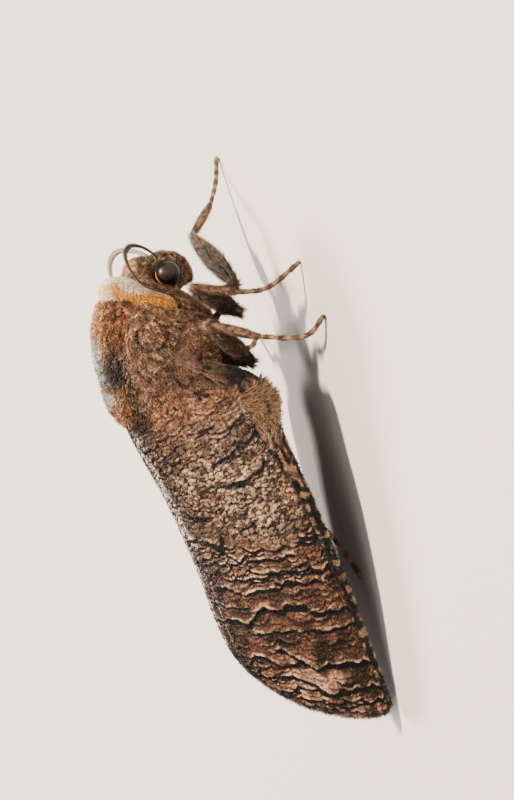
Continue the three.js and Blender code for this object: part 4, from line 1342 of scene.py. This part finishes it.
def wing_plate(kind, label, columns, rows):
    """A wing: a fine upper sheet with the plates' relief, joined round its rim to a plain lower one.
    On its map the upper sheet lies below the lower one."""
    bm = bmesh.new()
    spots = {}
    for upper, (nx, ny) in ((True, (columns, rows)), (False, (columns // 4, rows // 4))):
        made = bmesh.ops.create_grid(bm, x_segments=nx, y_segments=ny, size=0.5)["verts"]
        flat = np.array([v.co for v in made]) + 0.5
        u, v = flat[:, 0] * MARGIN_IN, flat[:, 1]
        place, _, _, outward = wing_frame(u, v, kind, label)
        colour, relief, _ = wing_look(u, v, kind, label)
        edge = smooth(np.minimum.reduce([u / 0.02, (MARGIN_IN - u) / 0.015, v / 0.02, (1 - v) / 0.02]), 0, 1)
        rise = (SHEET + relief if upper else -SHEET) * (0.3 + 0.7 * edge)
        for vert, p in zip(made, to_row(place + outward * rise[:, None])):
            vert.co = p
        spots[upper] = (u, v, colour if upper else underside(colour))
    bmesh.ops.bridge_loops(bm, edges=[e for e in bm.edges if e.is_boundary])
    plate = smooth_piece(bm, f"{kind}_{label}_plate")
    mesh = plate.data
    u, v, colour = (np.concatenate([spots[True][k], spots[False][k]]) for k in range(3))
    paint_points(mesh, colour * SHEET_TONE)
    corner = numbers(mesh.loops, "vertex_index", 1, np.int32)
    is_under = corner >= len(spots[True][0])
    starts = numbers(mesh.polygons, "loop_start", 1, np.int32)
    sides_each = numbers(mesh.polygons, "loop_total", 1, np.int32)
    under = np.repeat(np.logical_and.reduceat(is_under, starts), sides_each) * 0.5
    add_map(mesh, np.stack([0.005 + 0.99 * u[corner], 0.005 + 0.485 * v[corner] + under], 1))
    return plate


wing_finish = coat_finish("wing_scales", 0.6, 14000, 0.25, 0.000012, sheen=0.1)
for label in SIDE:
    for kind, columns, rows in (("forewing", 350, 150), ("hindwing", 120, 60)):
        dressed(wing_plate(kind, label, columns, rows), wing_finish, kind, f"{kind}_{label}")


def on_wing_at_random(count, accept):
    """Random places on a wing, as u and v, more of them where accept is nearer to 1."""
    u, v = dice.random(count * 40), dice.random(count * 40)
    keep = dice.random(len(u)) < accept(u, v) * length_at(v) / WING_LENGTH
    return u[keep][:count], v[keep][:count]


def wing_coat(layer, form, kind, label, places, length, width, lift, lean=0, tip_highlight=0, darkest=-0.35,
              under=False):
    """Scales or hairs on one face of a wing. lean turns them from the margin to the front edge, the argument
    after lean is the share of painted highlight on their tips, and the darkest is 2 to that power as bright
    as the wing below it."""
    u, v = places
    n = len(u)
    length, width = length * dice.uniform(0.7, 1.2, n), width * dice.uniform(0.75, 1.25, n)
    lift = np.radians(lift) * dice.uniform(0.3, 1.7, n)
    lean = lean + dice.normal(0, 0.25, n)
    onward, frontward = np.cos(lean), np.sin(lean)
    place, to_margin, to_hind, outward = wing_frame(u, v, kind, label)
    reach = length / length_at(v)
    middle = np.clip(u + 0.5 * reach * onward, 0, 1), np.clip(v - 1.1 * reach * frontward, 0, 1)
    tip = np.clip(u + reach * onward, 0, 1), np.clip(v - 2.2 * reach * frontward, 0, 1)
    colour, _, _ = wing_look(*middle, kind, label)
    _, _, ends_in = wing_look(*tip, kind, label)
    _, relief, starts_in = wing_look(u, v, kind, label)
    length = length * np.where((ends_in > IN_CRACK) & (starts_in < IN_CRACK), 0.5, 1)
    if under:
        outward, relief, colour = -outward, relief * 0, underside(colour)
    place = place + outward * (SHEET + relief)[:, None]
    lie = to_margin * onward[:, None] - to_hind * frontward[:, None]
    flat = np.stack([u, v], 1)
    flat = INSET + SPAN * (flat - flat.min(0)) / np.ptp(flat, axis=0)
    tone = 2 ** dice.uniform(darkest, 0.5, (n, 1))
    tip_highlight = tip_highlight * dice.random(n) ** 1.5 * np.minimum(1, colour.mean(-1) / BLACK)
    coat = tufts(f"{kind}_{label}_{layer}", form, place @ RISEN.T + ORIGIN, outward @ RISEN.T, lie @ RISEN.T,
                 length, width, lift, colour * tone, flat, bed=0.02, tip_highlight=tip_highlight)
    return dressed(coat, wing_finish if form is LEAF else fur_finish, kind)


def on_plate(u, v):
    return u < 0.982


def on_root(u, v):
    """The wing's root, where it grows out of the thorax: furthest out along the front edge."""
    return (1 - smooth(u - 0.06 * (v < 0.2), 0.02, 0.13)) * (1 - 0.6 * smooth(v, 0.1, 0.4))


def on_front_strip(u, v):
    return (v < crease_at(u)) * np.interp(u, [0.05, 0.3, 0.98], [1, 0.6, 0.35]) * (u < 0.975)


def on_shoulder(u, v):
    return near(u - 0.2, 0.05) * (v < 0.2) * (u > 0.14)


def fanned(u):
    """The lean of the shoulder's brush: its hairs spread like a fan from behind the hollow."""
    return 2.4 * (0.24 - u) / 0.12


for label in SIDE:
    places = on_wing_at_random(24500, on_plate)
    wing_coat("scales", LEAF, "forewing", label, places, 0.18, 0.135, 13)
    places = on_wing_at_random(4000, on_plate)
    wing_coat("under_scales", LEAF, "forewing", label, places, 0.34, 0.24, 8, under=True)
    places = on_wing_at_random(3000, on_plate)
    wing_coat("scales", LEAF, "hindwing", label, places, 0.34, 0.24, 8)
    places = on_wing_at_random(12000, on_root)
    wing_coat("root_fur", SPECK, "forewing", label, places, 0.32, 0.09, 32, tip_highlight=0.6, darkest=-1.8)
    places = on_wing_at_random(16000, on_front_strip)
    wing_coat("front_hair", SHORT_HAIR, "forewing", label, places, 0.38, 0.085, 24, 0.35,
              tip_highlight=0.6, darkest=-1.1)
    places = on_wing_at_random(3000, on_shoulder)
    wing_coat("shoulder_fan", SHORT_HAIR, "forewing", label, places, 0.8, 0.15, 36, fanned(places[0]),
              tip_highlight=1.2, darkest=-2.6)
    v, u = dice.random(6000), dice.uniform(0.966, 0.985, 6000)
    wing_coat("fringe", SHORT_HAIR, "forewing", label, (u, v), 0.4, 0.055, 4, tip_highlight=0.5, darkest=-1.1)
